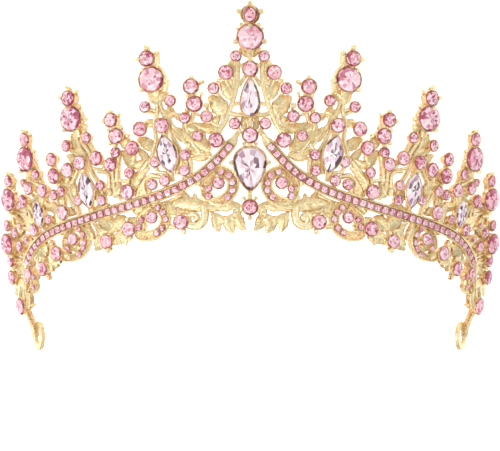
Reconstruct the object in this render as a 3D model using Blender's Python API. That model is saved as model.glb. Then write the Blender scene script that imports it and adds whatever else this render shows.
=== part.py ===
"""A gilt tiara with rose pink and clear stones.

The tiara is a strip of pierced, cast goldwork bent round a cone that opens upwards. It is drawn flat, as seen
from its front, and the drawing is carried onto the cone along straight lines from an eye point. The left half
is drawn, and the right half mirrors it. The finished tiara lies as it rests by itself: face up, on the claws
of its outer spires and on the spires next to its ends.
"""
import math

import bmesh
import bpy
import numpy as np
from mathutils import Matrix, Vector

MM = 0.001

# The cone: its radius at the drawing's level row, and how far its wall leans out
LEVEL_RADIUS = 92 * MM
FLARE = math.radians(22)

# The front drawing: a step of it is 0.31 mm on the front panel, and its rows and columns count from its
# top left corner, with the centre line on column 250. The eye stands below the base plane.
STEP = 0.31 * MM
CENTRE_COLUMN = 250.0
AXIS_ROW = 170.0
LEVEL_ROW = 150.0
EYE_DISTANCE = 500 * MM
EYE_DROP = math.radians(28)

# Metal thicknesses, measured out from the cone
BAND_WIDTH = 3.6 * MM
CAST_BACK = -0.8 * MM
CAST_FRONT = 0.3 * MM
LEAF_RIDGE = 1.0 * MM
RIDGED_WIDTH = 2.5 * MM
FIT_GAP = 0.3 * MM
STONE_SIDES = 8
MERGE = 0.01 * MM
FRAME_DETAIL = 0.46
ROW_DETAIL = 0.85

# The stone rows
ROW_STONE = 2.15 * MM
ROW_PITCH = 2.6 * MM
ROW_WIDTH = 3.0 * MM
ROW_BACK = CAST_FRONT + FIT_GAP
ROW_FLOOR = 1.4 * MM
ROW_RAIL = 1.9 * MM
ROW_RAIL_WIDTH = 0.32 * MM
ROW_TABLE = 2.3 * MM

# Cut stones: heights and scales as parts of their width, the cup's scale and how much a pear narrows
CROWN_PART = 0.17
BELLY_PART = 0.16
TABLE_SCALE = 0.58
BELLY_SCALE = 0.74
CUP_SCALE = 0.94
PEAR_TAPER = 0.38
CLAW_WIDTH = 1.0 * MM
CLAW_RISE = 0.8 * MM
SMALL_CUP_SCALE = 1.1
SMALL_GIRDLE = 0.9 * MM
SMALL_GIRDLE_PART = 0.22

# The end loops
LOOP_OUTER = 4.7 * MM
LOOP_HOLE = 2.6 * MM
LOOP_SIDES = 12
LOOP_COLUMN = 39.0
LOOP_ROW = 336.0

ROOM_TOP = 6 * MM

GOLD_DENSITY = 8500
STONE_DENSITY = 2500

GOLD = (0.86, 0.66, 0.33, 1.0)
PINK = (0.90, 0.36, 0.48, 1.0)
CLEAR = (0.93, 0.88, 0.92, 1.0)

# Main stones of the centre column: name, column, row, width and height in mm, cut, girdle height in mm
CENTRE_STONES = [
    ("stone_crest", 250, 15.0, 4.4, 5.0, "round", 3.6),
    ("stone_crown", 250, 37.4, 8.2, 8.2, "round", 2.6),
    ("stone_neck", 250, 69.0, 4.7, 4.7, "round", 2.2),
    ("stone_upper_pear", 250, 97.5, 5.7, 12.0, "pear_up", 2.2),
    ("stone_heart", 250, 135.2, 4.7, 4.7, "round", 2.6),
    ("stone_lower_pear", 250, 168.5, 9.6, 13.8, "pear_down", 2.2),
    ("stone_foot", 250, 207.0, 4.7, 4.7, "round", 2.2),
]

# Main stones of the left half: name, column, row, width and height in mm, cut, lean in degrees, girdle height
SIDE_STONES = [
    ("spire_b_tip", 190.9, 86.6, 4.7, 4.7, "round", 0, 2.2),
    ("spire_b_main", 194.2, 103.8, 4.9, 4.9, "round", 0, 2.2),
    ("spire_a_tip", 146.8, 58.8, 4.9, 4.9, "round", 0, 3.0),
    ("spire_a_main", 151.2, 79.5, 8.1, 8.1, "round", 0, 2.6),
    ("spire_c_tip", 110.6, 120.0, 4.5, 4.5, "round", 0, 2.2),
    ("spire_c_main", 115.9, 136.0, 4.9, 4.9, "round", 0, 2.2),
    ("spire_d_tip", 68.2, 98.4, 4.9, 4.9, "round", 0, 3.0),
    ("spire_d_main", 71.0, 118.6, 8.1, 8.1, "round", 0, 2.6),
    ("spire_e_main", 53.6, 175.9, 4.9, 4.9, "round", 0, 2.2),
    ("spire_f_tip", 24.5, 139.9, 4.4, 4.4, "round", 0, 3.0),
    ("spire_f_main", 25.3, 159.0, 8.1, 8.1, "round", 0, 2.6),
    ("spire_g_main", 8.2, 199.6, 7.6, 7.6, "round", 0, 2.4),
    ("spire_h_main", 7.6, 244.0, 7.0, 7.0, "round", 0, 2.4),
    ("navette_inner", 166.0, 154.0, 6.6, 12.2, "navette", 5, 2.0),
    ("navette_middle", 86.3, 190.4, 6.2, 11.8, "navette", -2, 2.0),
    ("navette_outer", 38.5, 214.0, 5.2, 9.4, "navette", -8, 2.0),
]

# Small stones fused in their cups, left half: column, row, diameter in mm
SMALL_STONES = [
    (225.8, 72.5, 4.6), (216.0, 140.0, 4.6), (161.9, 125.5, 4.7), (139.8, 129.0, 4.6), (132.1, 148.2, 4.7),
    (127.1, 191.8, 4.8), (110.3, 164.4, 4.4), (96.1, 158.2, 4.6), (79.6, 162.7, 4.7), (67.3, 170.2, 4.7),
    (51.3, 159.5, 4.3), (42.1, 190.4, 4.6), (62.4, 212.6, 4.7), (28.3, 188.4, 4.3), (22.6, 201.5, 4.4),
    (33.4, 230.0, 4.1), (9.0, 181.5, 4.0), (11.0, 260.5, 4.3), (12.5, 277.5, 4.4), (21.0, 306.5, 5.0),
    (180.6, 222.0, 4.7), (128.3, 229.0, 4.8), (106.1, 241.7, 4.6), (55.9, 253.5, 4.8), (42.1, 268.8, 4.8),
    (72.7, 239.1, 4.0),
]

# Claws of the main stones on the left half or on the centre line: stone, angles about it in degrees
CLAWS = [
    ("stone_crest", (90, 175)), ("stone_crown", (197,)), ("spire_b_tip", (90,)), ("spire_a_tip", (90, 180)),
    ("spire_a_main", (0, 150)), ("spire_c_tip", (90,)), ("spire_d_tip", (90,)), ("spire_d_main", (0, 150)),
    ("spire_f_tip", (90,)), ("spire_f_main", (0,)),
]

# Links between cups, left half: width in mm, then column, row and height above the wall in mm, at both ends
LINKS = [
    (2.0, (250, 15.0, 3.6), (250, 37.4, 2.6)), (2.0, (250, 37.4, 2.6), (250, 69.0, 2.2)),
    (1.6, (250, 69.0, 2.2), (250, 97.5, 2.2)), (1.6, (250, 135.2, 2.6), (250, 168.5, 2.2)),
    (1.6, (250, 168.5, 2.2), (250, 207.0, 2.2)), (2.0, (250, 207.0, 2.2), (234, 210, 0)),
    (2.0, (190.9, 86.6, 2.2), (194.2, 103.8, 2.2)), (2.2, (146.8, 58.8, 3.0), (151.2, 79.5, 2.6)),
    (3.0, (151.2, 79.5, 2.6), (158, 104, 0)), (2.0, (110.6, 120.0, 2.2), (115.9, 136.0, 2.2)),
    (2.2, (68.2, 98.4, 3.0), (71.0, 118.6, 2.6)), (3.0, (71.0, 118.6, 2.6), (78, 138, 0)),
    (2.2, (24.5, 139.9, 3.0), (25.3, 159.0, 2.6)), (3.0, (25.3, 159.0, 2.6), (36, 172, 0)),
    (2.4, (9.0, 181.5, 1.8), (8.2, 199.6, 2.4)), (3.0, (8.2, 199.6, 2.4), (16, 212, 0)),
    (2.4, (7.6, 244.0, 2.4), (14, 226, 0)), (2.4, (7.6, 244.0, 2.4), (16, 262, 0)),
    (2.0, (166.0, 154.0, 2.0), (161.9, 125.5, 1.9)), (2.0, (166.0, 154.0, 2.0), (172, 182, 0)),
    (2.0, (86.3, 190.4, 2.0), (79.6, 162.7, 1.9)), (2.0, (86.3, 190.4, 2.0), (92, 220, 0)),
    (2.0, (38.5, 214.0, 2.0), (42.1, 190.4, 1.9)), (1.6, (106.1, 241.7, 1.9), (112, 226, 0)),
    (1.6, (28.3, 188.4, 1.9), (40, 200, 0)), (1.4, (72.7, 239.1, 1.8), (84, 240, 0)),
    (1.6, (128.3, 229.0, 1.9), (124, 244, 0)), (1.6, (53.6, 175.9, 2.2), (60, 190, 0)),
    (1.6, (42.1, 268.8, 1.9), (42, 252, 0)), (1.6, (22.6, 201.5, 1.9), (34, 214, 0)),
    (1.6, (33.4, 230.0, 1.8), (22, 228, 0)),
]

# Leaves, left half: base column and row, tip column and row, width in mm
LEAVES = [
    (230, 98, 219, 83, 2.4), (227, 112, 209.5, 95, 3.6), (219, 131, 196, 124, 2.2), (209, 151, 189, 141, 2.4),
    (196, 143, 183, 124, 2.2), (211, 154, 191, 160, 2.0), (184, 142, 171, 123, 2.6), (171, 116, 164, 107, 3.0),
    (157, 101, 146, 92, 2.4), (158, 101, 169, 93, 2.4), (152, 149, 137, 139, 2.2), (132, 168, 121, 151, 2.8),
    (176, 176, 146, 172, 2.0), (133, 188, 151, 171, 1.8), (86, 157, 70, 152, 2.4), (79, 148, 71, 134, 2.4),
    (74, 196, 66, 180, 2.6), (92, 222, 118, 196, 3.0), (112, 188, 94, 172, 2.8), (44, 186, 42, 168, 2.6),
    (58, 226, 50, 202, 3.0), (56, 206, 43, 204, 2.6), (46, 206, 36, 194, 2.2), (36, 240, 24, 222, 3.4),
    (36, 224, 22, 214, 2.8), (32, 250, 22, 236, 3.0), (206, 208, 172, 203, 3.0),
    (217, 217, 218.8, 232, 2.4), (228, 218, 233, 232.5, 2.6), (237, 215, 245.2, 229.5, 2.6),
    (168, 200, 176, 214, 2.6), (140, 232, 122, 214, 2.6), (126, 220, 112, 232, 3.6), (112, 230, 93, 216, 3.6),
    (104, 232, 94, 250, 2.8), (128, 240, 114, 250, 3.0), (92, 240, 86, 222, 2.4), (70, 232, 58, 244, 3.4),
    (66, 250, 70, 266, 3.0), (62, 262, 52, 238, 3.0), (46, 246, 38, 262, 4.0), (30, 262, 20, 250, 3.0),
    (24, 270, 16, 268, 3.0), (26, 288, 14, 290, 3.6), (28, 292, 36, 290, 3.0),
]

# Stems, left half: width in mm, then the columns and rows that they run through
STEMS = [
    (1.5, [(238, 60), (237, 84), (233, 100), (229, 112), (224, 124), (214, 136)]),
    (1.3, [(226, 80), (232, 94)]),
    (1.1, [(240, 51.5), (250, 55)]),
    (1.2, [(250, 54), (250, 63)]),
    (1.2, [(250, 76), (250, 80)]),
    (1.1, [(231, 104.5), (243, 103)]),
    (1.1, [(229, 114), (238, 117), (250, 116), (250, 126)]),
    (1.2, [(234, 124), (240, 131)]),
    (1.2, [(222, 128), (216, 138)]),
    (1.6, [(240, 131), (228, 146)]),
    (1.2, [(222, 139), (226, 144)]),
    (1.2, [(250, 142), (250, 148)]),
    (1.2, [(250, 190), (250, 200)]),
    (1.1, [(171, 104), (172, 118), (178, 130), (184, 138), (194, 149), (202, 154), (213, 158)]),
    (1.3, [(190, 106), (186, 116), (186, 126), (192, 142), (200, 152)]),
    (1.1, [(206, 116), (214, 124), (220, 126)]),
    (1.2, [(185, 152), (190, 144)]),
    (1.2, [(157, 92), (157, 113), (154, 124), (156, 140), (152, 158), (158, 172)]),
    (1.1, [(163, 98), (168, 116), (170, 132), (178, 146), (186, 160), (186, 172), (183, 180)]),
    (1.1, [(145, 107), (157, 112)]),
    (1.2, [(139, 128), (154, 124)]),
    (1.1, [(155, 162), (146, 172), (134, 188), (130, 200)]),
    (1.2, [(158, 172), (164, 180), (166, 190)]),
    (1.1, [(152, 184), (148, 196)]),
    (1.2, [(132, 148), (134, 158), (130, 172), (128, 190), (130, 204)]),
    (1.2, [(116, 143), (114, 152), (112, 166), (112, 184), (112, 208)]),
    (1.2, [(96, 159), (104, 162), (112, 172)]),
    (1.2, [(86, 138), (92, 148), (96, 158)]),
    (1.2, [(74, 126), (78, 140), (82, 150), (88, 160), (92, 172), (100, 186), (104, 200), (102, 212)]),
    (1.2, [(66, 146), (74, 152), (80, 160), (76, 174), (70, 190), (76, 204), (80, 218)]),
    (1.2, [(52, 160), (56, 176), (60, 190), (64, 202), (62, 216), (62, 227)]),
    (1.2, [(42, 190), (54, 194), (62, 192)]),
    (1.2, [(34, 166), (38, 174), (42, 188), (34, 200), (26, 204), (30, 214), (32, 230), (38, 240)]),
    (1.2, [(28, 188), (34, 196)]),
    (1.3, [(48, 219), (54, 226), (52, 232)]),
    (1.3, [(10, 182), (12, 196), (16, 210), (22, 214), (28, 214)]),
    (1.3, [(12, 212), (14, 226), (16, 236), (24, 240), (32, 244)]),
    (1.3, [(16, 236), (18, 248), (28, 252)]),
    (1.4, [(10, 252), (14, 262), (26, 262)]),
    (1.4, [(13, 277), (22, 272), (28, 274)]),
    (3.2, [(26, 262), (27, 276), (27, 290), (27.5, 302), (29, 314)]),
    (1.6, [(21, 306), (28, 306)]),
    (1.7, [(29, 312), (33.5, 324), (36.5, 334)]),
]

# Scroll bands with their tiny stones, left half: width in mm, then columns and rows
SCROLLS = [
    (2.6, [(215, 169), (224, 170), (232, 176), (234.5, 185), (231.5, 194), (224, 201), (214, 205), (203, 205)]),
    (2.2, [(214, 196), (208.5, 194), (207.5, 188), (212, 178), (216, 170)]),
    (1.5, [(207, 196), (212, 203), (222, 205)]),
    (1.5, [(208, 190), (202, 188.5)]),
    (2.2, [(200, 205), (209, 204), (216, 203.5), (228, 203), (238, 204.5), (241, 208), (239, 213)]),
    (2.2, [(239, 213), (231, 218), (221, 218.5), (212, 214), (207, 208)]),
    (1.2, [(240, 208), (246, 207.5)]),
    (1.8, [(200, 206), (206, 214), (204, 223), (197, 228), (189, 226), (184, 222)]),
    (1.5, [(189, 226), (187, 218), (193, 216)]),
    (1.4, [(198, 186), (201, 176), (204, 172)]),
    (2.6, [(154, 205), (162, 209), (167, 216), (166, 225), (159, 233), (150, 237), (140, 237), (133, 232)]),
    (2.0, [(147, 226), (139.5, 226), (139.5, 219), (146, 212), (154, 207)]),
    (1.4, [(147, 200), (150, 208)]),
    (1.3, [(167, 215), (174, 216), (180, 220)]),
    (2.4, [(77, 225), (84, 232), (87, 241), (84, 250), (78, 256), (70, 258), (62, 256)]),
    (1.8, [(70, 250), (66.5, 247), (66, 240), (70, 232), (76, 227)]),
    (2.4, [(28, 260), (32, 270), (34, 279), (33, 288), (29, 294)]),
]

# The curve of the left stone row, from the centre out to the end, and of the band behind it
ROW_COURSE = [
    (229, 147), (217, 160.4), (197.8, 177), (168.5, 192.2), (132, 204.9), (96.7, 215.3), (68.9, 225),
    (46, 235.6), (32.1, 250.1), (25.6, 265),
]
BAND_HEAD = (236, 137)
BAND_FOOT = (25.5, 272)


def cone_point(turn, rise, out):
    """Point on the cone: turned to the wearer's right, risen along the wall, and moved outwards."""
    radius = LEVEL_RADIUS + rise * math.sin(FLARE) + out * math.cos(FLARE)
    height = rise * math.cos(FLARE) - out * math.sin(FLARE)
    return Vector((-radius * math.sin(turn), -radius * math.cos(turn), height))


def place(column, row, out=0.0):
    """Carry a point of the front drawing onto the cone, along its line from the eye, as (turn, rise)."""
    view_out = Vector((0, -math.cos(EYE_DROP), -math.sin(EYE_DROP)))
    view_up = Vector((0, -math.sin(EYE_DROP), math.cos(EYE_DROP)))
    aim_rise = (LEVEL_ROW - AXIS_ROW) * STEP / math.cos(EYE_DROP - FLARE)
    eye = cone_point(0, aim_rise, 0) + view_out * EYE_DISTANCE
    ray = Vector(((column - CENTRE_COLUMN) * STEP, 0, 0)) + view_up * ((AXIS_ROW - row) * STEP)
    ray -= view_out * EYE_DISTANCE
    # The cone is x*x + y*y = (base + slope*z)**2, a quadratic along the ray
    slope = math.tan(FLARE)
    base = LEVEL_RADIUS + out / math.cos(FLARE)
    eye_radius = base + slope * eye.z
    a = ray.x ** 2 + ray.y ** 2 - (slope * ray.z) ** 2
    b = eye.x * ray.x + eye.y * ray.y - eye_radius * slope * ray.z
    c = eye.x ** 2 + eye.y ** 2 - eye_radius ** 2
    along = (-b - math.sqrt(max(b * b - a * c, 0.0))) / a
    hit = eye + ray * along
    turn = math.atan2(-hit.x, -hit.y)
    rise = (hit.z + out * math.sin(FLARE)) / math.cos(FLARE)
    return turn, rise


def wall_matrix(turn, rise, out, lean=0.0):
    """Matrix of a piece that sits on the wall: X across, Y up and Z outwards, turned by its lean."""
    across = Vector((math.cos(turn), -math.sin(turn), 0))
    up = Vector((-math.sin(FLARE) * math.sin(turn), -math.sin(FLARE) * math.cos(turn), math.cos(FLARE)))
    matrix = Matrix((across, up, across.cross(up))).transposed().to_4x4()
    matrix.translation = cone_point(turn, rise, out)
    return matrix @ Matrix.Rotation(lean, 4, "Z")


def spread(column, row, out=0.0):
    """A point of the drawing on the unrolled wall, with the drawing's left on its left."""
    turn, rise = place(column, row, out)
    return np.array([-turn * LEVEL_RADIUS, rise])


def squeeze(rise):
    """How much narrower a width is on the unrolled wall than on the cone, at a rise."""
    return LEVEL_RADIUS / (LEVEL_RADIUS + rise * math.sin(FLARE))


def loft(rings):
    """Closed solid through rings of equal count, with flat ends, as (points, faces)."""
    count = len(rings[0])
    points = [tuple(point) for ring in rings for point in ring]
    faces = [tuple(reversed(range(count)))]
    for level in range(len(rings) - 1):
        low = level * count
        for side in range(count):
            follow = (side + 1) % count
            faces.append((low + side, low + follow, low + count + follow, low + count + side))
    last = (len(rings) - 1) * count
    faces.append(tuple(range(last, last + count)))
    return points, faces


def prism(polygon, back, front):
    """Upright solid of a flat polygon."""
    return loft([[(x, y, back) for x, y in polygon], [(x, y, front) for x, y in polygon]])


def outline(cut, width, height, scale=1.0):
    """Outline of a cut stone: a circle, a pear, or a navette whose width falls with its height squared."""
    points = []
    for index in range(STONE_SIDES):
        angle = math.tau * (index + (0.5 if cut == "round" else 0.0)) / STONE_SIDES
        x = math.cos(angle)
        y = math.sin(angle)
        if cut == "navette":
            x *= abs(x)
        elif cut == "pear_up":
            x *= 1.0 - PEAR_TAPER * y
        elif cut == "pear_down":
            x *= 1.0 + PEAR_TAPER * y
        points.append((x * scale * width / 2, y * scale * height / 2))
    return points


def wall_outline(stone, margin=0.0, scale=1.0):
    """A stone's outline on the unrolled wall, widened by a margin."""
    name, column, row, width, height, cut, lean, girdle = stone
    centre = spread(column, row, girdle * MM)
    narrow = squeeze(centre[1])
    turned = math.radians(lean)
    polygon = []
    for x, y in outline(cut, width * MM + 2 * margin, height * MM + 2 * margin, scale):
        across = x * math.cos(turned) - y * math.sin(turned)
        along = x * math.sin(turned) + y * math.cos(turned)
        polygon.append((centre[0] + across * narrow, centre[1] + along))
    return polygon


def smooth_course(knots, steps):
    """Catmull-Rom curve through flat points."""
    knots = [2 * knots[0] - knots[1]] + knots + [2 * knots[-1] - knots[-2]]
    course = []
    for a, b, c, d in zip(knots, knots[1:], knots[2:], knots[3:]):
        for t in np.arange(steps) / steps:
            course.append(0.5 * (2 * b + (c - a) * t + (2 * a - 5 * b + 4 * c - d) * t ** 2
                                 + (3 * b - a - 3 * c + d) * t ** 3))
    course.append(knots[-2])
    return course


def spaced_course(knots, pitch):
    """Points a pitch apart along a smooth course."""
    fine = np.array(smooth_course(knots, 24))
    lengths = np.concatenate([[0.0], np.cumsum(np.hypot(*np.diff(fine, axis=0).T))])
    wanted = np.linspace(0, lengths[-1], int(round(lengths[-1] / pitch)) + 1)
    return [np.array(spot) for spot in zip(np.interp(wanted, lengths, fine[:, 0]),
                                           np.interp(wanted, lengths, fine[:, 1]))]


def side_directions(course):
    """Unit directions to the left of a course, at each of its points."""
    sides = []
    for index in range(len(course)):
        ahead = course[min(index + 1, len(course) - 1)] - course[max(index - 1, 0)]
        sides.append(np.array([-ahead[1], ahead[0]]) / np.hypot(*ahead))
    return sides


def strip(course, width):
    """Flat strip of an even width along a course."""
    sides = side_directions(course)
    left = [spot + side * width / 2 for spot, side in zip(course, sides)]
    right = [spot - side * width / 2 for spot, side in zip(course, sides)]
    return prism(left + right[::-1], CAST_BACK, CAST_FRONT)


def swept(course, section):
    """Solid that carries a section of (side, out) points along a course."""
    rings = []
    for spot, side in zip(course, side_directions(course)):
        rings.append([(*(spot + side * across), out) for across, out in section])
    return loft(rings)


def leaf(base, tip, width):
    """Leaf with a flat back, and a raised midrib where it is broad, from its base to its tip."""
    length = np.hypot(*(tip - base))
    side = np.array([-(tip - base)[1], (tip - base)[0]]) / length * width / 2
    spots = [base, base + (tip - base) * 0.3, base + (tip - base) * 0.68, tip]
    edge = [spots[0], spots[1] - side, spots[2] - side * 0.8, tip, spots[2] + side * 0.8, spots[1] + side]
    points, faces = prism(edge, CAST_BACK, CAST_FRONT)
    if width >= RIDGED_WIDTH:
        points += [(*spots[1], LEAF_RIDGE), (*spots[2], LEAF_RIDGE)]
        faces[-1:] = [(6, 7, 12), (7, 8, 13, 12), (8, 9, 13), (9, 10, 13), (10, 11, 12, 13), (11, 6, 12)]
    return points, faces


def mirrored(solid):
    """The same solid on the other side of the centre line, with its faces still outwards."""
    points, faces = solid
    return [(-x, y, z) for x, y, z in points], [tuple(reversed(face)) for face in faces]


def straddles(solid):
    """Whether a solid lies evenly on both sides of the centre line."""
    columns = [x for x, y, z in solid[0]]
    return abs(min(columns) + max(columns)) < MERGE


def make_mesh(name, solid, scale=1.0):
    """Blender mesh of a solid, with its faces outwards."""
    points, faces = solid
    mesh = bpy.data.meshes.new(name)
    mesh.from_pydata([(x * scale, y * scale, z * scale) for x, y, z in points], [], faces)
    model = bmesh.new()
    model.from_mesh(mesh)
    bmesh.ops.recalc_face_normals(model, faces=model.faces)
    model.to_mesh(mesh)
    model.free()
    return mesh


def material(name, colour, metallic, roughness):
    """Principled material of a colour."""
    made = bpy.data.materials.new(name)
    made.use_nodes = True
    shader = made.node_tree.nodes["Principled BSDF"]
    shader.inputs["Base Color"].default_value = colour
    shader.inputs["Metallic"].default_value = metallic
    shader.inputs["Roughness"].default_value = roughness
    made.diffuse_color = colour
    return made


def fuse(name, solids, cutters=(), detail=1.0):
    """One mesh from overlapping flat solids, in mm, with the cutters taken out and its detail thinned."""
    scene = bpy.context.scene.collection
    base = bpy.data.objects.new(name, make_mesh(name, solids[0], 1 / MM))
    scene.objects.link(base)
    groups = []
    for operation, members in (("UNION", solids[1:]), ("DIFFERENCE", cutters)):
        if not members:
            continue
        group = bpy.data.collections.new(name + "_" + operation.lower())
        scene.children.link(group)
        for index, member in enumerate(members):
            label = f"{group.name}_{index}"
            guide = bpy.data.objects.new(label, make_mesh(label, member, 1 / MM))
            guide.hide_render = True
            guide.display_type = "WIRE"
            group.objects.link(guide)
        modifier = base.modifiers.new(operation, "BOOLEAN")
        modifier.operation = operation
        modifier.operand_type = "COLLECTION"
        modifier.collection = group
        modifier.solver = "EXACT"
        groups.append(group)
    base.modifiers.new("Triangles", "TRIANGULATE").ngon_method = "CLIP"
    thinner = base.modifiers.new("Thinner", "DECIMATE")
    thinner.ratio = detail
    bpy.context.view_layer.update()
    evaluated = base.evaluated_get(bpy.context.evaluated_depsgraph_get())
    mesh = bpy.data.meshes.new_from_object(evaluated)
    mesh.name = name
    for group in groups:
        for guide in list(group.objects):
            bpy.data.objects.remove(guide)
        bpy.data.collections.remove(group)
    bpy.data.objects.remove(base)
    return mesh


def wrap(mesh):
    """Bend a flat mesh, in mm, round the cone, and leave the end loops flat."""
    turn, rise = place(LOOP_COLUMN, LOOP_ROW)
    narrow = squeeze(rise)
    loops = [(-turn * LEVEL_RADIUS * sign, wall_matrix(turn * sign, rise, 0.0)) for sign in (1, -1)]
    for vertex in mesh.vertices:
        x, y, z = vertex.co * MM
        vertex.co = cone_point(-x / LEVEL_RADIUS, y, z)
        for loop_x, matrix in loops:
            if math.hypot((x - loop_x) / narrow, y - rise) < LOOP_OUTER + FIT_GAP:
                vertex.co = matrix @ Vector(((x - loop_x) / narrow, y - rise, z))
    return mesh


def add_object(name, mesh, finish, matrix=None):
    """Named object of a mesh, with its own material."""
    piece = bpy.data.objects.new(name, mesh)
    bpy.context.scene.collection.objects.link(piece)
    mesh.materials.clear()
    mesh.materials.append(finish)
    if matrix is not None:
        piece.matrix_world = matrix
    return piece


def main_stones():
    """Every main stone as it is drawn on the left half or on the centre line."""
    stones = []
    for name, column, row, width, height, cut, girdle in CENTRE_STONES:
        stones.append((name, column, row, width, height, cut, 0.0, girdle))
    return stones + SIDE_STONES


def row_course():
    """Flat points that the left stone row runs through."""
    return [spread(column, row) for column, row in ROW_COURSE]


def stone_row():
    """Channel and stones of the left row, as overlapping flat solids."""
    half = ROW_WIDTH / 2
    inner = half - ROW_RAIL_WIDTH
    section = [(-half, ROW_BACK), (half, ROW_BACK), (half, ROW_RAIL), (inner, ROW_RAIL), (inner, ROW_FLOOR),
               (-inner, ROW_FLOOR), (-inner, ROW_RAIL), (-half, ROW_RAIL)]
    spots = spaced_course(row_course(), ROW_PITCH)
    solids = [swept(spots[::2] + [spots[-1]], section)]
    for spot in spots[:-1]:
        rings = []
        for scale, level in ((1.0, ROW_FLOOR - FIT_GAP), (TABLE_SCALE, ROW_TABLE)):
            ring = outline("round", ROW_STONE, ROW_STONE, scale)
            rings.append([(spot[0] + x, spot[1] + y, level) for x, y in ring])
        solids.append(loft(rings))
    return solids


def cup(stone):
    """Cup under a main stone, up to the girdle. The stone's room takes its upper part away."""
    name, column, row, width, height, cut, lean, girdle = stone
    return prism(wall_outline(stone, scale=CUP_SCALE), CAST_BACK, girdle * MM)


def stone_room(stone):
    """Room round a main stone that the metal stays out of."""
    name, column, row, width, height, cut, lean, girdle = stone
    belly = BELLY_PART * min(width, height) * MM
    return prism(wall_outline(stone, FIT_GAP), girdle * MM - belly - FIT_GAP, ROOM_TOP)


def small_stone(column, row, diameter):
    """A small stone fused in its cup, as one eight-sided solid with a table."""
    girdle = SMALL_GIRDLE + SMALL_GIRDLE_PART * diameter
    centre = spread(column, row, girdle)
    narrow = squeeze(centre[1])
    rings = []
    for scale, level in ((SMALL_CUP_SCALE, CAST_BACK), (SMALL_CUP_SCALE, girdle),
                         (TABLE_SCALE, girdle + CROWN_PART * diameter)):
        ring = outline("round", diameter * narrow, diameter, scale)
        rings.append([(centre[0] + x, centre[1] + y, level) for x, y in ring])
    return loft(rings)


def claw(stone, angle):
    """Claw that leaves a main stone's cup and rises beside the stone."""
    name, column, row, width, height, cut, lean, girdle = stone
    centre = spread(column, row, girdle * MM)
    narrow = squeeze(centre[1])
    ahead = np.array([math.cos(angle), math.sin(angle)])
    side = np.array([-ahead[1], ahead[0]]) * CLAW_WIDTH / 2
    reach = np.hypot(width * ahead[0], height * ahead[1]) * MM / 2 + FIT_GAP + CLAW_WIDTH
    ring = [ahead * reach - side, ahead * reach + side, side, -side]
    top = girdle * MM + CLAW_RISE
    return prism([(centre[0] + x * narrow, centre[1] + y) for x, y in ring], CAST_BACK, top)


def end_loop():
    """Flat ring with twelve sides, for a hair pin."""
    centre = spread(LOOP_COLUMN, LOOP_ROW)
    points = []
    for radius, level in ((LOOP_OUTER, CAST_BACK), (LOOP_OUTER, CAST_FRONT), (LOOP_HOLE, CAST_FRONT),
                          (LOOP_HOLE, CAST_BACK)):
        for index in range(LOOP_SIDES):
            angle = math.tau * index / LOOP_SIDES
            points.append((centre[0] + radius * math.cos(angle) * squeeze(centre[1]),
                           centre[1] + radius * math.sin(angle), level))
    faces = []
    for level in range(4):
        low = level * LOOP_SIDES
        high = (level + 1) % 4 * LOOP_SIDES
        for side in range(LOOP_SIDES):
            follow = (side + 1) % LOOP_SIDES
            faces.append((low + side, low + follow, high + follow, high + side))
    return points, faces


def left_goldwork():
    """Flat solids of the left half's goldwork and small stones."""
    band = smooth_course([spread(*BAND_HEAD)] + row_course() + [spread(*BAND_FOOT)], 2)
    solids = [strip(band, BAND_WIDTH)]
    for base_column, base_row, tip_column, tip_row, width in LEAVES:
        solids.append(leaf(spread(base_column, base_row), spread(tip_column, tip_row), width * MM))
    for width, marks in STEMS + SCROLLS:
        solids.append(strip([spread(column, row) for column, row in marks], width * MM))
    for column, row, diameter in SMALL_STONES:
        solids.append(small_stone(column, row, diameter * MM))
    for width, start, end in LINKS:
        course = [spread(column, row, height * MM) for column, row, height in (start, end)]
        solids.append(strip(course, width * MM))
    solids.append(end_loop())
    return solids


def volume_and_moment(mesh):
    """Volume of a closed mesh, and the volume times its centre."""
    volume = 0.0
    moment = Vector((0, 0, 0))
    mesh.calc_loop_triangles()
    for triangle in mesh.loop_triangles:
        a, b, c = (mesh.vertices[index].co for index in triangle.vertices)
        part = a.dot(b.cross(c)) / 6
        volume += part
        moment += (a + b + c) * part / 4
    return volume, moment


def resting_turn(pieces):
    """Angle about X that lays the tiara face up, on the side of its hull that its centre of mass is over."""
    def bend(origin, first, second):
        ahead = (first[0] - origin[0], first[1] - origin[1])
        beyond = (second[0] - origin[0], second[1] - origin[1])
        return ahead[0] * beyond[1] - ahead[1] * beyond[0]

    mass = 0.0
    moment = Vector((0, 0, 0))
    profile = set()
    for piece in pieces:
        volume, piece_moment = volume_and_moment(piece.data)
        density = STONE_DENSITY if piece.name.startswith(("stone", "spire", "navette")) else GOLD_DENSITY
        mass += volume * density
        moment += piece_moment * density
        profile.update((vertex.co.y, vertex.co.z) for vertex in piece.data.vertices)
    centre = (moment.y / mass, moment.z / mass)
    hull = []
    for points in (sorted(profile), sorted(profile, reverse=True)):
        chain = []
        for point in points:
            while len(chain) > 1 and bend(chain[-2], chain[-1], point) <= 0:
                chain.pop()
            chain.append(point)
        hull += chain[:-1]
    # The hull runs anticlockwise, and the centre of mass is over the side that carries the tiara
    for start, end in zip(hull, hull[1:] + hull[:1]):
        along = Vector((end[0] - start[0], end[1] - start[1])).normalized()
        outwards = Vector((along.y, -along.x))
        reach = (centre[0] - start[0]) * along.x + (centre[1] - start[1]) * along.y
        length = math.dist(start, end)
        if 0 < reach < length and outwards.y > 0.5 and outwards.x > 0.2:
            return math.atan2(-outwards.x, -outwards.y)
    raise ValueError("The tiara has no such side to rest on")


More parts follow.
